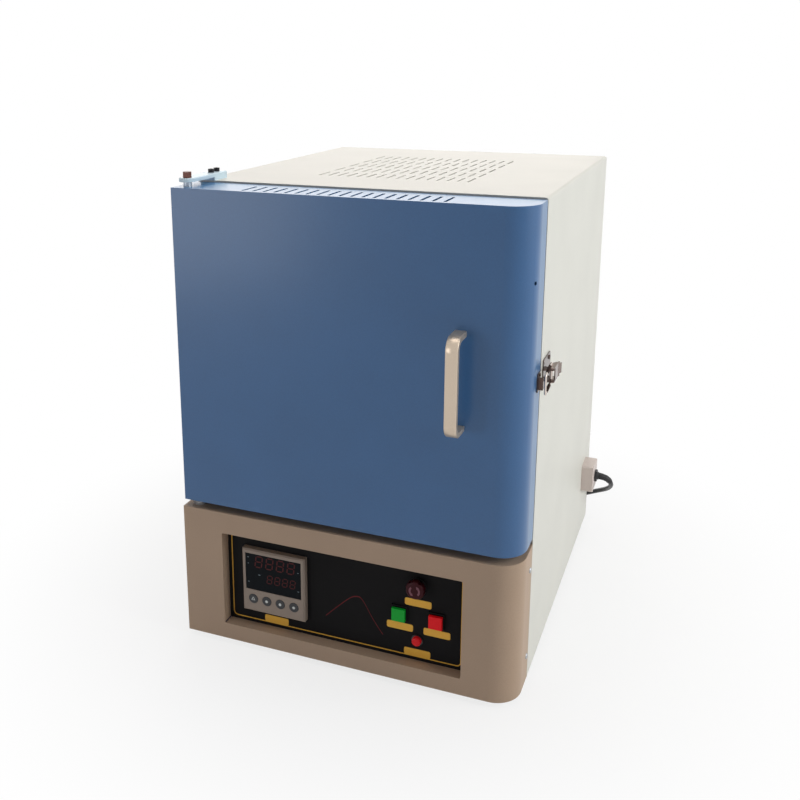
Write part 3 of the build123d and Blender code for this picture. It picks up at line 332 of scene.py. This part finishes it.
flex_bare = flex_curve.copy()
flex_bare.bevel_depth = 0
flex_probe = bpy.data.objects.new("flex_probe", flex_bare)
bpy.context.scene.collection.objects.link(flex_probe)
bpy.context.view_layer.update()
flex_mesh = bpy.data.meshes.new_from_object(flex_probe.evaluated_get(bpy.context.evaluated_depsgraph_get()))
flex_at = [v.co.copy() for v in flex_mesh.vertices]
bpy.data.objects.remove(flex_probe)
sleeve_step = 0.003
sleeve_rings = 6
sleeve_at = [flex_at[0]]
for at in flex_at[1:]:
    if (at - sleeve_at[-1]).length > sleeve_step and len(sleeve_at) <= sleeve_rings:
        sleeve_at.append(at)
sleeve_curve = round_curve("strain_relief", sleeve_at, flex_d, steps=6, rounds=5)
for k, point in enumerate(sleeve_curve.splines[0].points):
    ring = 0.10 if k % 2 and k < sleeve_rings else 0
    point.radius = 1.42 - 0.26 * k / sleeve_rings + ring
strain_relief = settle(meshed(sleeve_curve))
bpy.ops.object.shade_smooth_by_angle(angle=radians(40))
sleeve_rubber = finish_of("sleeve_rubber", srgb(22, 22, 24), 0.2, 0.0009, 0.55, bump=0.2)
set_in_place(strain_relief, "strain_relief", "casing", sleeve_rubber)

tie_w = 0.016
tie_t = 0.0011
bpy.ops.object.select_all(action="DESELECT")
bpy.ops.mesh.primitive_cube_add(size=1)
coil_tie = bpy.context.object
coil_tie.scale = (3 * flex_d + 0.0012, tie_w, 2 * flex_d + 0.0004)
bpy.ops.object.transform_apply(location=True, rotation=True, scale=True)
bpy.ops.object.mode_set(mode="EDIT")
pick(coil_tie, "EDGE", lambda at, way: abs(way.y) > 0.9)
bpy.ops.mesh.bevel(offset=0.0042, segments=6, affect="EDGES")
pick(coil_tie, "FACE", lambda at, normal: abs(normal.y) > 0.9)
bpy.ops.mesh.delete(type="FACE")
settle(coil_tie)
strap = coil_tie.modifiers.new("strap", "SOLIDIFY")
strap.thickness = tie_t
strap.offset = -1
bpy.ops.object.modifier_apply(modifier="strap")
coil_tie.location = (coil_x - coil_r, coil_y, flex_d + 0.0002)
strap_hook = finish_of("strap_hook", srgb(34, 36, 40), 0.35, 0.0007, 0.85, bump=0.6)
set_in_place(coil_tie, "coil_tie", "casing", strap_hook)

coat(sleeve_rubber, "plug_body")
coat(finish_of("pin_brass", srgb(196, 164, 92), 0.08, 0.0006, 0.3, metal=1.0), "plug_pins")
coat(finish_of("gland_nylon", srgb(30, 31, 34), 0.15, 0.0008, 0.4, bump=0.1), "cable_gland")


# ---- Casing: folded steel sheets, powder coated cream with a fine orange-peel skin.
# The deck stays in plain zinc-coated sheet and the mouth frame in bare steel, on four rubber feet.
cream_coat = finish_of("cream_coat", srgb(229, 227, 219), 0.03, 0.0015, 0.42, bump=0.16, gloss=0.15)
coat(cream_coat, "side_panel_left", "side_panel_right", "top_cover", "rear_panel", "base_pan")
zinc_sheet = finish_of("zinc_sheet", srgb(158, 162, 166), 0.12, 0.006, 0.42, metal=0.9, bump=0.05)
coat(zinc_sheet, "deck_plate")
coat(finish_of("foot_rubber", srgb(30, 30, 31), 0.25, 0.0011, 0.72, bump=0.3), "rubber_feet")
outlet_box_paint = finish_of("outlet_box_paint", srgb(218, 204, 198), 0.04, 0.0013, 0.4,
                             bump=0.12, gloss=0.25)
coat(outlet_box_paint, "cable_box")
mouth_steel = finish_of("mouth_steel", srgb(168, 158, 146), 0.16, 0.003, 0.36, metal=0.9, bump=0.06)
coat(mouth_steel, "mouth_frame")


# ---- Cover screws: zinc-plated pan heads with a cross recess, six at the back and four at the fascia.
# One head is turned, domed and recessed, then set over each hole.
head_d = 0.0078
head_h = 0.0021
bpy.ops.object.select_all(action="DESELECT")
bpy.ops.mesh.primitive_cylinder_add(vertices=32, radius=head_d / 2, depth=head_h, location=(0, 0, 0))
pan_head = bpy.context.object
bpy.ops.object.mode_set(mode="EDIT")
pick(pan_head, "EDGE", lambda at, way: at.z > head_h * 0.49 and at.xy.length > head_d * 0.45)
bpy.ops.mesh.bevel(offset=head_h * 0.62, segments=4, affect="EDGES")
bpy.ops.object.mode_set(mode="OBJECT")
for angle in (0, 90):
    bpy.ops.mesh.primitive_cube_add(size=1, location=(0, 0, head_h * 0.42), rotation=(0, 0, radians(angle)))
    recess = bpy.context.object
    recess.scale = (head_d * 0.56, head_d * 0.13, head_h * 0.9)
    bpy.ops.object.transform_apply(location=True, rotation=True, scale=True)
    bpy.context.view_layer.objects.active = pan_head
    driver_slot = pan_head.modifiers.new("driver_slot", "BOOLEAN")
    driver_slot.operation = "DIFFERENCE"
    driver_slot.solver = "EXACT"
    driver_slot.object = recess
    bpy.ops.object.modifier_apply(modifier="driver_slot")
    bpy.data.objects.remove(recess)
screw_zinc = finish_of("screw_zinc", srgb(176, 178, 182), 0.1, 0.0008, 0.3, metal=1.0, bump=0.05)


def screw_row(name, node, places, out, seat):
    """Sets a pan head at each of those places, facing out, as one piece in the screws' stead.
    seat is how far the middle of a head stands off that place."""
    heads = []
    for at in places:
        head = pan_head.copy()
        head.data = pan_head.data.copy()
        bpy.context.scene.collection.objects.link(head)
        facing = out(at)
        turned = facing.to_track_quat("Z", "Y").to_matrix().to_4x4()
        head.matrix_world = Matrix.Translation(at + facing * seat) @ turned
        heads.append(head)
    choose(*heads)
    bpy.ops.object.join()
    row = bpy.context.object
    set_in_place(row, name, "casing", screw_zinc)
    bpy.ops.object.shade_smooth_by_angle(angle=radians(35))
    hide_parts(node)


rear_low, rear_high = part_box("rear_screws")
rear_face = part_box("rear_panel")[1].y
screw_row("rear_cover_screws", "rear_screws", [
    Vector((x, rear_face, z))
    for x in (rear_low.x + head_d / 2, rear_high.x - head_d / 2)
    for z in (rear_low.z + head_d / 2, (rear_low.z + rear_high.z) / 2, rear_high.z - head_d / 2)
], lambda at: Vector((0, 1, 0)), head_h / 2)
flange_low, flange_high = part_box("fascia_screws")
fascia_low, fascia_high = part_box("fascia")
screw_row("fascia_side_screws", "fascia_screws", [
    Vector((x, (flange_low.y + flange_high.y) / 2, z))
    for x in (fascia_low.x, fascia_high.x)
    for z in (flange_low.z + head_d / 2, flange_high.z - head_d / 2)
], lambda at: Vector((1 if at.x > 0 else -1, 0, 0)), head_h / 2 - 0.0005)
bpy.data.objects.remove(pan_head)


# ---- Lining: vacuum-formed ceramic fibre boards round the chamber, with a dense hearth plate.
# The heating wire and the probe in the chamber have gone dark and matt with heat.
fibre_board = finish_of("fibre_board", srgb(236, 230, 214), 0.07, 0.0045, 0.92, bump=0.5, gloss=0.2)
coat(fibre_board, "insulation_floor", "insulation_roof", "insulation_left", "insulation_right",
     "insulation_back", "door_plug")
hearth_ceramic = finish_of("hearth_ceramic", srgb(206, 186, 152), 0.12, 0.003, 0.85, bump=0.35, gloss=0.25)
coat(hearth_ceramic, "hearth_plate")
coat(finish_of("seal_rope", srgb(214, 206, 190), 0.16, 0.0022, 0.9, bump=0.9, gloss=0.15), "door_seal")
coat(finish_of("burnt_wire", srgb(92, 80, 70), 0.3, 0.002, 0.6, metal=0.7, bump=0.25), "heating_wire_left",
     "heating_wire_right")
coat(finish_of("probe_sheath", srgb(226, 214, 190), 0.1, 0.002, 0.6, bump=0.1), "thermocouple_sheath")
probe_head = finish_of("probe_head", srgb(150, 152, 156), 0.12, 0.002, 0.4, metal=0.8, bump=0.1)
coat(probe_head, "thermocouple_head")


# ---- Fascia: one folded sheet round the controls, with a rounded free corner. Its coat is the casing's cream, written darker and warmer as painted shade.
# Its opening is folded in to a black foil panel with a gold border line.
# painted shade: the cream of the casing, darkened and warmed to a beige
fascia_cream_painted_shade = finish_of("fascia_cream_painted_shade", srgb(190, 164, 142), 0.05, 0.0015, 0.5, bump=0.18, gloss=0.2)
coat(fascia_cream_painted_shade, "fascia")
panel_foil = finish_of("panel_foil", srgb(28, 27, 28), 0.2, 0.0008, 0.55, bump=0.05, gloss=0.05)
coat(panel_foil, "control_panel")
gold_ink = finish_of("gold_ink", srgb(240, 184, 72), 0.08, 0.0006, 0.45, metal=0.1, bump=0.05, gloss=0.3)
panel_low, panel_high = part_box("control_panel")
panel_y = panel_low.y
panel_x = (panel_low.x + panel_high.x) / 2
panel_z = (panel_low.z + panel_high.z) / 2
ink_t = 0.0003


def ink_plate(wide, tall, corner, at_x, at_z, thick=ink_t):
    """A thin rounded plate that lies on the panel, back to it, centred at that place."""
    bpy.ops.object.select_all(action="DESELECT")
    bpy.ops.mesh.primitive_plane_add(size=1, location=(0, 0, 0))
    plate = bpy.context.object
    plate.scale = (wide, tall, 1)
    bpy.ops.object.transform_apply(location=True, rotation=True, scale=True)
    bpy.ops.object.mode_set(mode="EDIT")
    bpy.ops.mesh.select_all(action="SELECT")
    bpy.ops.mesh.bevel(offset=corner, segments=5, affect="VERTICES")
    bpy.ops.mesh.select_all(action="SELECT")
    bpy.ops.mesh.extrude_region_move(TRANSFORM_OT_translate={"value": (0, 0, thick)})
    settle(plate)
    plate.matrix_world = Matrix.Translation((at_x, panel_y, at_z)) @ Matrix.Rotation(pi / 2, 4, "X")
    return plate


opening_w, opening_h = 0.349, 0.141
bpy.ops.object.select_all(action="DESELECT")
bpy.ops.mesh.primitive_cube_add(size=1, location=(0, 0, 0))
fold_seam = bpy.context.object
seam_y = fascia_low.y + 0.0013
fold_seam.scale = (0.0011, panel_y - seam_y - 0.0004, 0.0011)
bpy.ops.object.transform_apply(location=True, rotation=True, scale=True)
bpy.ops.object.mode_set(mode="EDIT")
pick(fold_seam, "EDGE", lambda at, way: abs(way.y) > 0.9)
bpy.ops.mesh.bevel(offset=0.0003, segments=2, affect="EDGES")
settle(fold_seam)
seam_in = 0.0010
fold_seam.location = (
    panel_x - opening_w / 2 + seam_in, (seam_y + panel_y) / 2, panel_z - opening_h / 2 + seam_in)
seam_shadow = finish_of("seam_shadow", srgb(44, 40, 70), 0.15, 0.0009, 0.7, bump=0.2, gloss=0.1)
set_in_place(fold_seam, "fold_seam", "casing", seam_shadow)

border = ink_plate(opening_w - 0.0092, opening_h - 0.010, 0.007, panel_x + 0.0009, panel_z)
bpy.ops.object.mode_set(mode="EDIT")
pick(border, "FACE", lambda at, normal: abs(normal.z) > 0.9)
bpy.ops.mesh.inset(thickness=0.0015, depth=0, use_even_offset=True)
bpy.ops.mesh.bridge_edge_loops()
settle(border)
set_in_place(border, "panel_border", "casing", gold_ink)

for number, (at_x, at_z) in enumerate((
    (-0.1164, 0.0435), (0.0934, 0.1178), (0.0682, 0.0785), (0.1200, 0.0785), (0.0930, 0.0435),
), start=1):
    label = ink_plate(0.037, 0.0105, 0.0024, at_x, at_z)
    bpy.ops.object.mode_set(mode="EDIT")
    pick(label, "FACE", lambda at, normal: normal.z > 0.9)
    bpy.ops.mesh.inset(thickness=0.0007, depth=-0.00012, use_even_offset=True)
    settle(label)
    set_in_place(label, f"gold_label_{number}", "casing", gold_ink)


# ---- Heating graph: a firing curve printed in dull red over two dark grey axes.
# Each line is flat ink that stands a hair off the panel.
red_ink = finish_of("red_ink", srgb(104, 32, 36), 0.15, 0.0006, 0.5, bump=0.03, gloss=0.15)
grey_ink = finish_of("grey_ink", srgb(12, 12, 13), 0.1, 0.0006, 0.4, bump=0.03, gloss=0.1)
line_t = 0.0001
firing_curve = bpy.data.curves.new("firing_curve", "CURVE")
firing_curve.dimensions = "2D"
firing_curve.fill_mode = "BOTH"
stroke = firing_curve.splines.new("NURBS")
firing_points = [(-0.0402, 0.0676), (-0.0266, 0.0817), (-0.0027, 0.1049), (0.0060, 0.1078),
                 (0.0119, 0.1073), (0.0192, 0.0969), (0.0309, 0.0752), (0.0440, 0.0585)]
stroke.points.add(len(firing_points) - 1)
for point, (at_x, at_z) in zip(stroke.points, firing_points):
    point.co = (at_x, at_z, 0, 1)
stroke.order_u = 3
stroke.use_endpoint_u = True
firing_curve.resolution_u = 6
ribbon_w = 0.0016
firing_line = meshed(firing_curve)
bpy.ops.mesh.select_mode(type="VERT")
bpy.ops.mesh.select_all(action="SELECT")
bpy.ops.mesh.extrude_region_move(TRANSFORM_OT_translate={"value": (0, ribbon_w, 0)})
bpy.ops.mesh.select_all(action="SELECT")
bpy.ops.mesh.extrude_region_move(TRANSFORM_OT_translate={"value": (0, 0, line_t)})
settle(firing_line)
firing_line.matrix_world = Matrix.Translation((0, panel_y, 0)) @ Matrix.Rotation(pi / 2, 4, "X")
set_in_place(firing_line, "firing_curve", "casing", red_ink)
for name, wide, tall, at_x, at_z in (
    ("graph_upright", 0.0012, 0.0680, -0.0432, 0.0895),
    ("graph_base", 0.1010, 0.0012, 0.0066, 0.0560),
):
    axis = ink_plate(wide, tall, 0.0004, at_x, at_z, thick=line_t)
    set_in_place(axis, name, "casing", grey_ink)


# ---- Temperature controller: a moulded grey case with a smoked window and four round rubber keys.
# Behind the window two rows of seven-bar digits glow a dull red, and each key has a printed mark.
case_grey = finish_of("case_grey", srgb(158, 142, 130), 0.05, 0.0010, 0.48, bump=0.12, gloss=0.35)
coat(case_grey, "controller_case")
smoked_window = finish_of("smoked_window", srgb(20, 24, 28), 0.15, 0.004, 0.24, bump=0.01, gloss=0.05,
                          rough_spread=0.03)
coat(smoked_window, "controller_window")
key_rubber = finish_of("key_rubber", srgb(26, 28, 32), 0.2, 0.0009, 0.5, bump=0.15)
coat(key_rubber, "controller_key_1", "controller_key_2", "controller_key_3", "controller_key_4")
white_ink = finish_of("white_ink", srgb(226, 228, 226), 0.03, 0.0006, 0.5, bump=0.03)
digit_red = finish_of("digit_red", srgb(64, 20, 22), 0.12, 0.0008, 0.4, bump=0.02, gloss=0.15)
digit_shader = digit_red.node_tree.nodes["Principled BSDF"]
digit_shader.inputs["Emission Color"].default_value = srgb(150, 30, 26)
digit_shader.inputs["Emission Strength"].default_value = 0.04
window_low, window_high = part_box("controller_window")
window_y = window_low.y


def digit_bar(long, thick):
    """One bar of a digit: a flat six-sided bar with pointed ends, lying along X on the window."""
    bpy.ops.object.select_all(action="DESELECT")
    bpy.ops.mesh.primitive_plane_add(size=1, location=(0, 0, 0))
    bar = bpy.context.object
    bar.scale = (long, thick, 1)
    bpy.ops.object.transform_apply(location=True, rotation=True, scale=True)
    bpy.ops.object.mode_set(mode="EDIT")
    bpy.ops.mesh.select_all(action="SELECT")
    bpy.ops.mesh.bevel(offset=thick * 0.49, segments=1, affect="VERTICES")
    bpy.ops.mesh.select_all(action="SELECT")
    bpy.ops.mesh.extrude_region_move(TRANSFORM_OT_translate={"value": (0, 0, 0.00012)})
    return settle(bar)


digit_lean = radians(8)


def digit_row(name, count, tall, wide, pitch, right_x, at_z):
    """A row of that many figure-eight digits, its right end and middle height as given."""
    bar_t = tall * 0.11
    across, upright = digit_bar(wide - bar_t, bar_t), digit_bar(tall / 2 - bar_t * 0.6, bar_t)
    bars = []
    for place in range(count):
        digit_x = right_x - wide / 2 - place * pitch
        for model, dx, dz, angle in (
            (across, 0, tall / 2, 0), (across, 0, 0, 0), (across, 0, -tall / 2, 0),
            (upright, -wide / 2, tall / 4, 90), (upright, wide / 2, tall / 4, 90),
            (upright, -wide / 2, -tall / 4, 90), (upright, wide / 2, -tall / 4, 90),
        ):
            bar = model.copy()
            bar.data = model.data.copy()
            bpy.context.scene.collection.objects.link(bar)
            bar.matrix_world = (
                Matrix.Translation((digit_x + dx + dz * sin(digit_lean), window_y, at_z + dz))
                @ Matrix.Rotation(pi / 2, 4, "X")
                @ Matrix.Rotation(radians(angle) - (digit_lean if angle else 0), 4, "Z")
            )
            bars.append(bar)
    bpy.data.objects.remove(across)
    bpy.data.objects.remove(upright)
    choose(*bars)
    bpy.ops.object.join()
    set_in_place(bpy.context.object, name, "casing", digit_red)


digit_row("measured_digits", 4, 0.0165, 0.0100, 0.0165, -0.0835, 0.1345)
digit_row("set_digits", 4, 0.0120, 0.0072, 0.0118, -0.0825, 0.1105)

window_x = (window_low.x + window_high.x) / 2
window_z = (window_low.z + window_high.z) / 2
marks = []
for at_x, at_z, wide in (
    (-0.0385, 0.0215, 0.0024), (-0.0385, 0.0120, 0.0018), (-0.0385, -0.0165, 0.0024),
    (0.0385, 0.0120, 0.0018), (0.0385, -0.0165, 0.0024), (-0.0215, -0.0035, 0.0030),
):
    mark = ink_plate(wide, 0.0012, 0.0003, window_x + at_x, window_z + at_z, thick=line_t)
    mark.matrix_world.translation.y = window_y
    marks.append(mark)
choose(*marks)
bpy.ops.object.join()
mark_ink = finish_of("mark_ink", srgb(120, 134, 140), 0.05, 0.0006, 0.5, bump=0.03, gloss=0.2)
set_in_place(bpy.context.object, "indicator_marks", "casing", mark_ink)

for number in (1, 2, 3, 4):
    key_low, key_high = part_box(f"controller_key_{number}")
    bpy.ops.object.select_all(action="DESELECT")
    ringed = number == 1
    bpy.ops.mesh.primitive_circle_add(
        vertices=3 if ringed else 20, radius=0.0036 if ringed else 0.0021, fill_type="NGON")
    mark = bpy.context.object
    bpy.ops.object.mode_set(mode="EDIT")
    bpy.ops.mesh.select_all(action="SELECT")
    if ringed:
        bpy.ops.mesh.bevel(offset=0.0007, segments=3, affect="VERTICES")
        bpy.ops.mesh.select_all(action="SELECT")
        bpy.ops.mesh.inset(thickness=0.0008, depth=0)
        bpy.ops.mesh.delete(type="FACE")
    bpy.ops.mesh.select_all(action="SELECT")
    bpy.ops.mesh.extrude_region_move(TRANSFORM_OT_translate={"value": (0, 0, 0.00015)})
    settle(mark)
    key_face = Vector(((key_low.x + key_high.x) / 2, key_low.y, (key_low.z + key_high.z) / 2))
    mark.matrix_world = Matrix.Translation(key_face) @ Matrix.Rotation(pi / 2, 4, "X")
    set_in_place(mark, f"key_mark_{number}", f"controller_key_{number}", white_ink)


# ---- Buttons and lamp: square lit caps in black rings, a mushroom stop and a round red lens.
# The caps are coloured plastic with a little glow, and the maroon stop has two turn arrows.
switch_black = finish_of("switch_black", srgb(14, 14, 15), 0.2, 0.0009, 0.5, bump=0.08, gloss=0.1)
coat(switch_black, "start_button_body", "stop_button_body", "emergency_body", "emergency_stem")


def lens_plastic(name, colour, lit):
    """Coloured switch plastic with a fine moulded grain and a little of its lamp's glow."""
    plastic = finish_of(name, colour, 0.07, 0.0011, 0.3, bump=0.06, gloss=0.15, rough_spread=0.04)
    glow = plastic.node_tree.nodes["Principled BSDF"]
    glow.inputs["Emission Color"].default_value = colour
    glow.inputs["Emission Strength"].default_value = lit
    glow.inputs["Coat Weight"].default_value = 0.08
    glow.inputs["Coat Roughness"].default_value = 0.12
    return plastic


coat(lens_plastic("start_green", srgb(4, 152, 46), 0.16), "start_button_cap")
coat(lens_plastic("stop_red", srgb(226, 14, 26), 0.14), "stop_button_cap")
coat(lens_plastic("lamp_red", srgb(214, 20, 30), 0.12), "power_lamp_lens")
coat(finish_of("lamp_ring", srgb(34, 34, 36), 0.15, 0.0008, 0.3, bump=0.05), "power_lamp_body")
stop_maroon = finish_of("stop_maroon", srgb(58, 12, 20), 0.12, 0.0010, 0.36, bump=0.06, gloss=0.12)
coat(stop_maroon, "emergency_cap")
stop_low, stop_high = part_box("emergency_cap")
arrow_ink = finish_of("arrow_ink", srgb(128, 84, 94), 0.06, 0.0006, 0.5, bump=0.03, gloss=0.2)
arrow_r = 0.0078
arrow_band = 0.66  # inner edge of the arc, as a share of its radius
head_at = (0.0044, 0.0049, 0)  # middle of the arrow head's root
for number, side in enumerate((0, 180), start=1):
    bpy.ops.object.select_all(action="DESELECT")
    bpy.ops.mesh.primitive_circle_add(vertices=48, radius=arrow_r, fill_type="NOTHING", location=(0, 0, 0))
    arrow = bpy.context.object
    bpy.ops.object.mode_set(mode="EDIT")
    pick(arrow, "EDGE", lambda at, way: at.x < 0.0058)
    bpy.ops.mesh.delete(type="EDGE")
    bpy.ops.mesh.select_mode(type="VERT")
    bpy.ops.mesh.select_all(action="SELECT")
    bpy.ops.mesh.extrude_region_move()
    bpy.ops.transform.resize(value=(arrow_band, arrow_band, 1), center_override=(0, 0, 0))
    pick(arrow, "EDGE", lambda at, way: at.y > 0.0043 and abs(way.dot(at.normalized())) > 0.8)
    bpy.ops.mesh.extrude_region_move(TRANSFORM_OT_translate={"value": (-0.0002, 0.0003, 0)})
    bpy.ops.transform.resize(value=(1.7, 1.7, 1), center_override=head_at)
    bpy.ops.mesh.extrude_region_move(TRANSFORM_OT_translate={"value": (-0.0022, 0.0024, 0)})
    bpy.ops.mesh.merge(type="CENTER")
    bpy.ops.mesh.select_all(action="SELECT")
    bpy.ops.mesh.extrude_region_move(TRANSFORM_OT_translate={"value": (0, 0, 0.00015)})
    settle(arrow)
    arrow.matrix_world = (
        Matrix.Translation(((stop_low.x + stop_high.x) / 2, stop_low.y, (stop_low.z + stop_high.z) / 2))
        @ Matrix.Rotation(pi / 2, 4, "X") @ Matrix.Rotation(radians(side), 4, "Z"))
    set_in_place(arrow, f"turn_arrow_{number}", "emergency_cap", arrow_ink)


# ---- Door: a vented sheet shell with one tall rounded corner, coated satin blue.
# A clear coat and a cool sheen lighten the paint where it is seen at a low angle.
# The bow handle is satin metal, merged and then eased along its edges.
blue_coat = finish_of("blue_coat", srgb(59, 106, 158), 0.06, 0.0014, 0.34, bump=0.14, gloss=0.4)
blue_shader = blue_coat.node_tree.nodes["Principled BSDF"]
blue_shader.inputs["Sheen Weight"].default_value = 0.3
blue_shader.inputs["Sheen Roughness"].default_value = 0.3
blue_shader.inputs["Sheen Tint"].default_value = srgb(140, 215, 255)
blue_shader.inputs["Coat Weight"].default_value = 0.3
blue_shader.inputs["Coat Roughness"].default_value = 0.2
coat(blue_coat, "door_shell", "door_backplate")
satin_bar = finish_of("satin_bar", srgb(214, 196, 176), 0.05, 0.0009, 0.34, metal=0.6, bump=0.06)
coat(satin_bar, "handle")
welded = nodes["handle"].modifiers.new("welded", "WELD")
welded.merge_threshold = 0.00001
rounded = nodes["handle"].modifiers.new("rounded", "BEVEL")
rounded.width = 0.0016
rounded.segments = 3
rounded.limit_method = "ANGLE"
rounded.angle_limit = radians(50)
coat(finish_of("hidden_screw", srgb(150, 152, 156), 0.1, 0.001, 0.35, metal=1.0), "handle_screws")


# ---- Hinges: a pale blue arm on the lid carries the pivot bolt, and a steel arm the lower pin. The upper arm's pale blue is lightened nearly to white, a painted highlight.
# The bolt's head has browned, and the two cap screws are blackened steel.
# pale blue paint with a painted highlight: the arm is written nearly white
coat(finish_of("arm_blue_and_highlight", srgb(218, 240, 254), 0.04, 0.0012, 0.36, bump=0.12), "upper_hinge_arm")
browned_bolt = finish_of("browned_bolt", srgb(84, 50, 42), 0.25, 0.0012, 0.42, metal=0.6, bump=0.2)
coat(browned_bolt, "upper_pivot_bolt")
browned = browned_bolt.node_tree
bolt_place = browned.nodes.new("ShaderNodeTexCoord")
bolt_axes = browned.nodes.new("ShaderNodeSeparateXYZ")
above_arm = browned.nodes.new("ShaderNodeMath")
above_arm.operation = "GREATER_THAN"
above_arm.inputs[1].default_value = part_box("upper_hinge_arm")[1].z - 0.0005
shank_or_head = browned.nodes.new("ShaderNodeMix")
shank_or_head.data_type = "RGBA"
shank_or_head.inputs["A"].default_value = srgb(176, 184, 194)
head_tone = browned.nodes["Principled BSDF"].inputs["Base Color"].links[0].from_socket
browned.links.new(bolt_place.outputs["Object"], bolt_axes.inputs[0])
browned.links.new(bolt_axes.outputs["Z"], above_arm.inputs[0])
browned.links.new(above_arm.outputs[0], shank_or_head.inputs["Factor"])
browned.links.new(head_tone, shank_or_head.inputs["B"])
browned.links.new(shank_or_head.outputs["Result"], browned.nodes["Principled BSDF"].inputs["Base Color"])
coat(finish_of("black_screw", srgb(34, 34, 38), 0.2, 0.0009, 0.34, metal=0.7, bump=0.1), "upper_arm_screws")
arm_steel = finish_of("arm_steel", srgb(168, 170, 174), 0.1, 0.0016, 0.36, metal=0.95, bump=0.06)
coat(arm_steel, "lower_hinge_arm", "lower_arm_screws", "hinge_blocks")


# ---- Draw latch: pressed plated steel on the free side, with a formed lever and a wire bail.
# A coiled spring on each leg of the bail keeps it tight over the keeper. The base, keeper, lever and
# springs are darker copies of the plating, as painted shade and dark reflections.
latch_steel = finish_of("latch_steel", srgb(206, 194, 186), 0.14, 0.0012, 0.16, metal=1.0, bump=0.08)
# painted shade and dark reflection: darker copies of the plated steel for the base, keeper, lever and
# springs
latch_painted_shade = finish_of("latch_painted_shade", srgb(88, 72, 66), 0.3, 0.0012, 0.2, metal=1.0, bump=0.12)
spring_painted_shade = finish_of("spring_painted_shade", srgb(60, 46, 42), 0.25, 0.0009, 0.22, metal=1.0, bump=0.1)
latch_half_painted_shade = finish_of("latch_half_painted_shade", srgb(138, 122, 114), 0.3, 0.0012, 0.18, metal=1.0, bump=0.1)
coat(latch_steel, "latch_pin", "latch_bail")
coat(latch_half_painted_shade, "latch_lever")
coat(latch_painted_shade, "latch_base", "latch_keeper")
bail_low, bail_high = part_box("latch_bail")
bail_wire = 0.003
bail_lean = radians(3.05)
bar_at = Vector((bail_high.x - bail_wire / 2, bail_low.y + bail_wire / 2))
coils, per_turn = 19, 10
coil_pitch = 0.00145
spring_start = 0.0105  # along the leg, from the bail's bar
spring_r = 0.00178 / 0.95  # of the control points: the smooth line runs a twentieth inside them
spring_d = 0.00058
for number, leg_z in enumerate((bail_low.z + bail_wire / 2, bail_high.z - bail_wire / 2), start=1):
    spring_route = []
    for k in range(coils * per_turn + 1):
        around = 2 * pi * k / per_turn
        along = spring_start + coil_pitch * k / per_turn
        out = spring_r * cos(around)
        spring_route.append(Vector((
            bar_at.x - along * sin(bail_lean) + out * cos(bail_lean),
            bar_at.y + along * cos(bail_lean) + out * sin(bail_lean),
            leg_z + spring_r * sin(around))))
    spring = settle(meshed(round_curve("bail_spring", spring_route, spring_d, steps=3, rounds=2)))
    set_in_place(spring, f"bail_spring_{number}", "latch_bail", spring_painted_shade)
    bpy.ops.object.shade_smooth_by_angle(angle=radians(50))
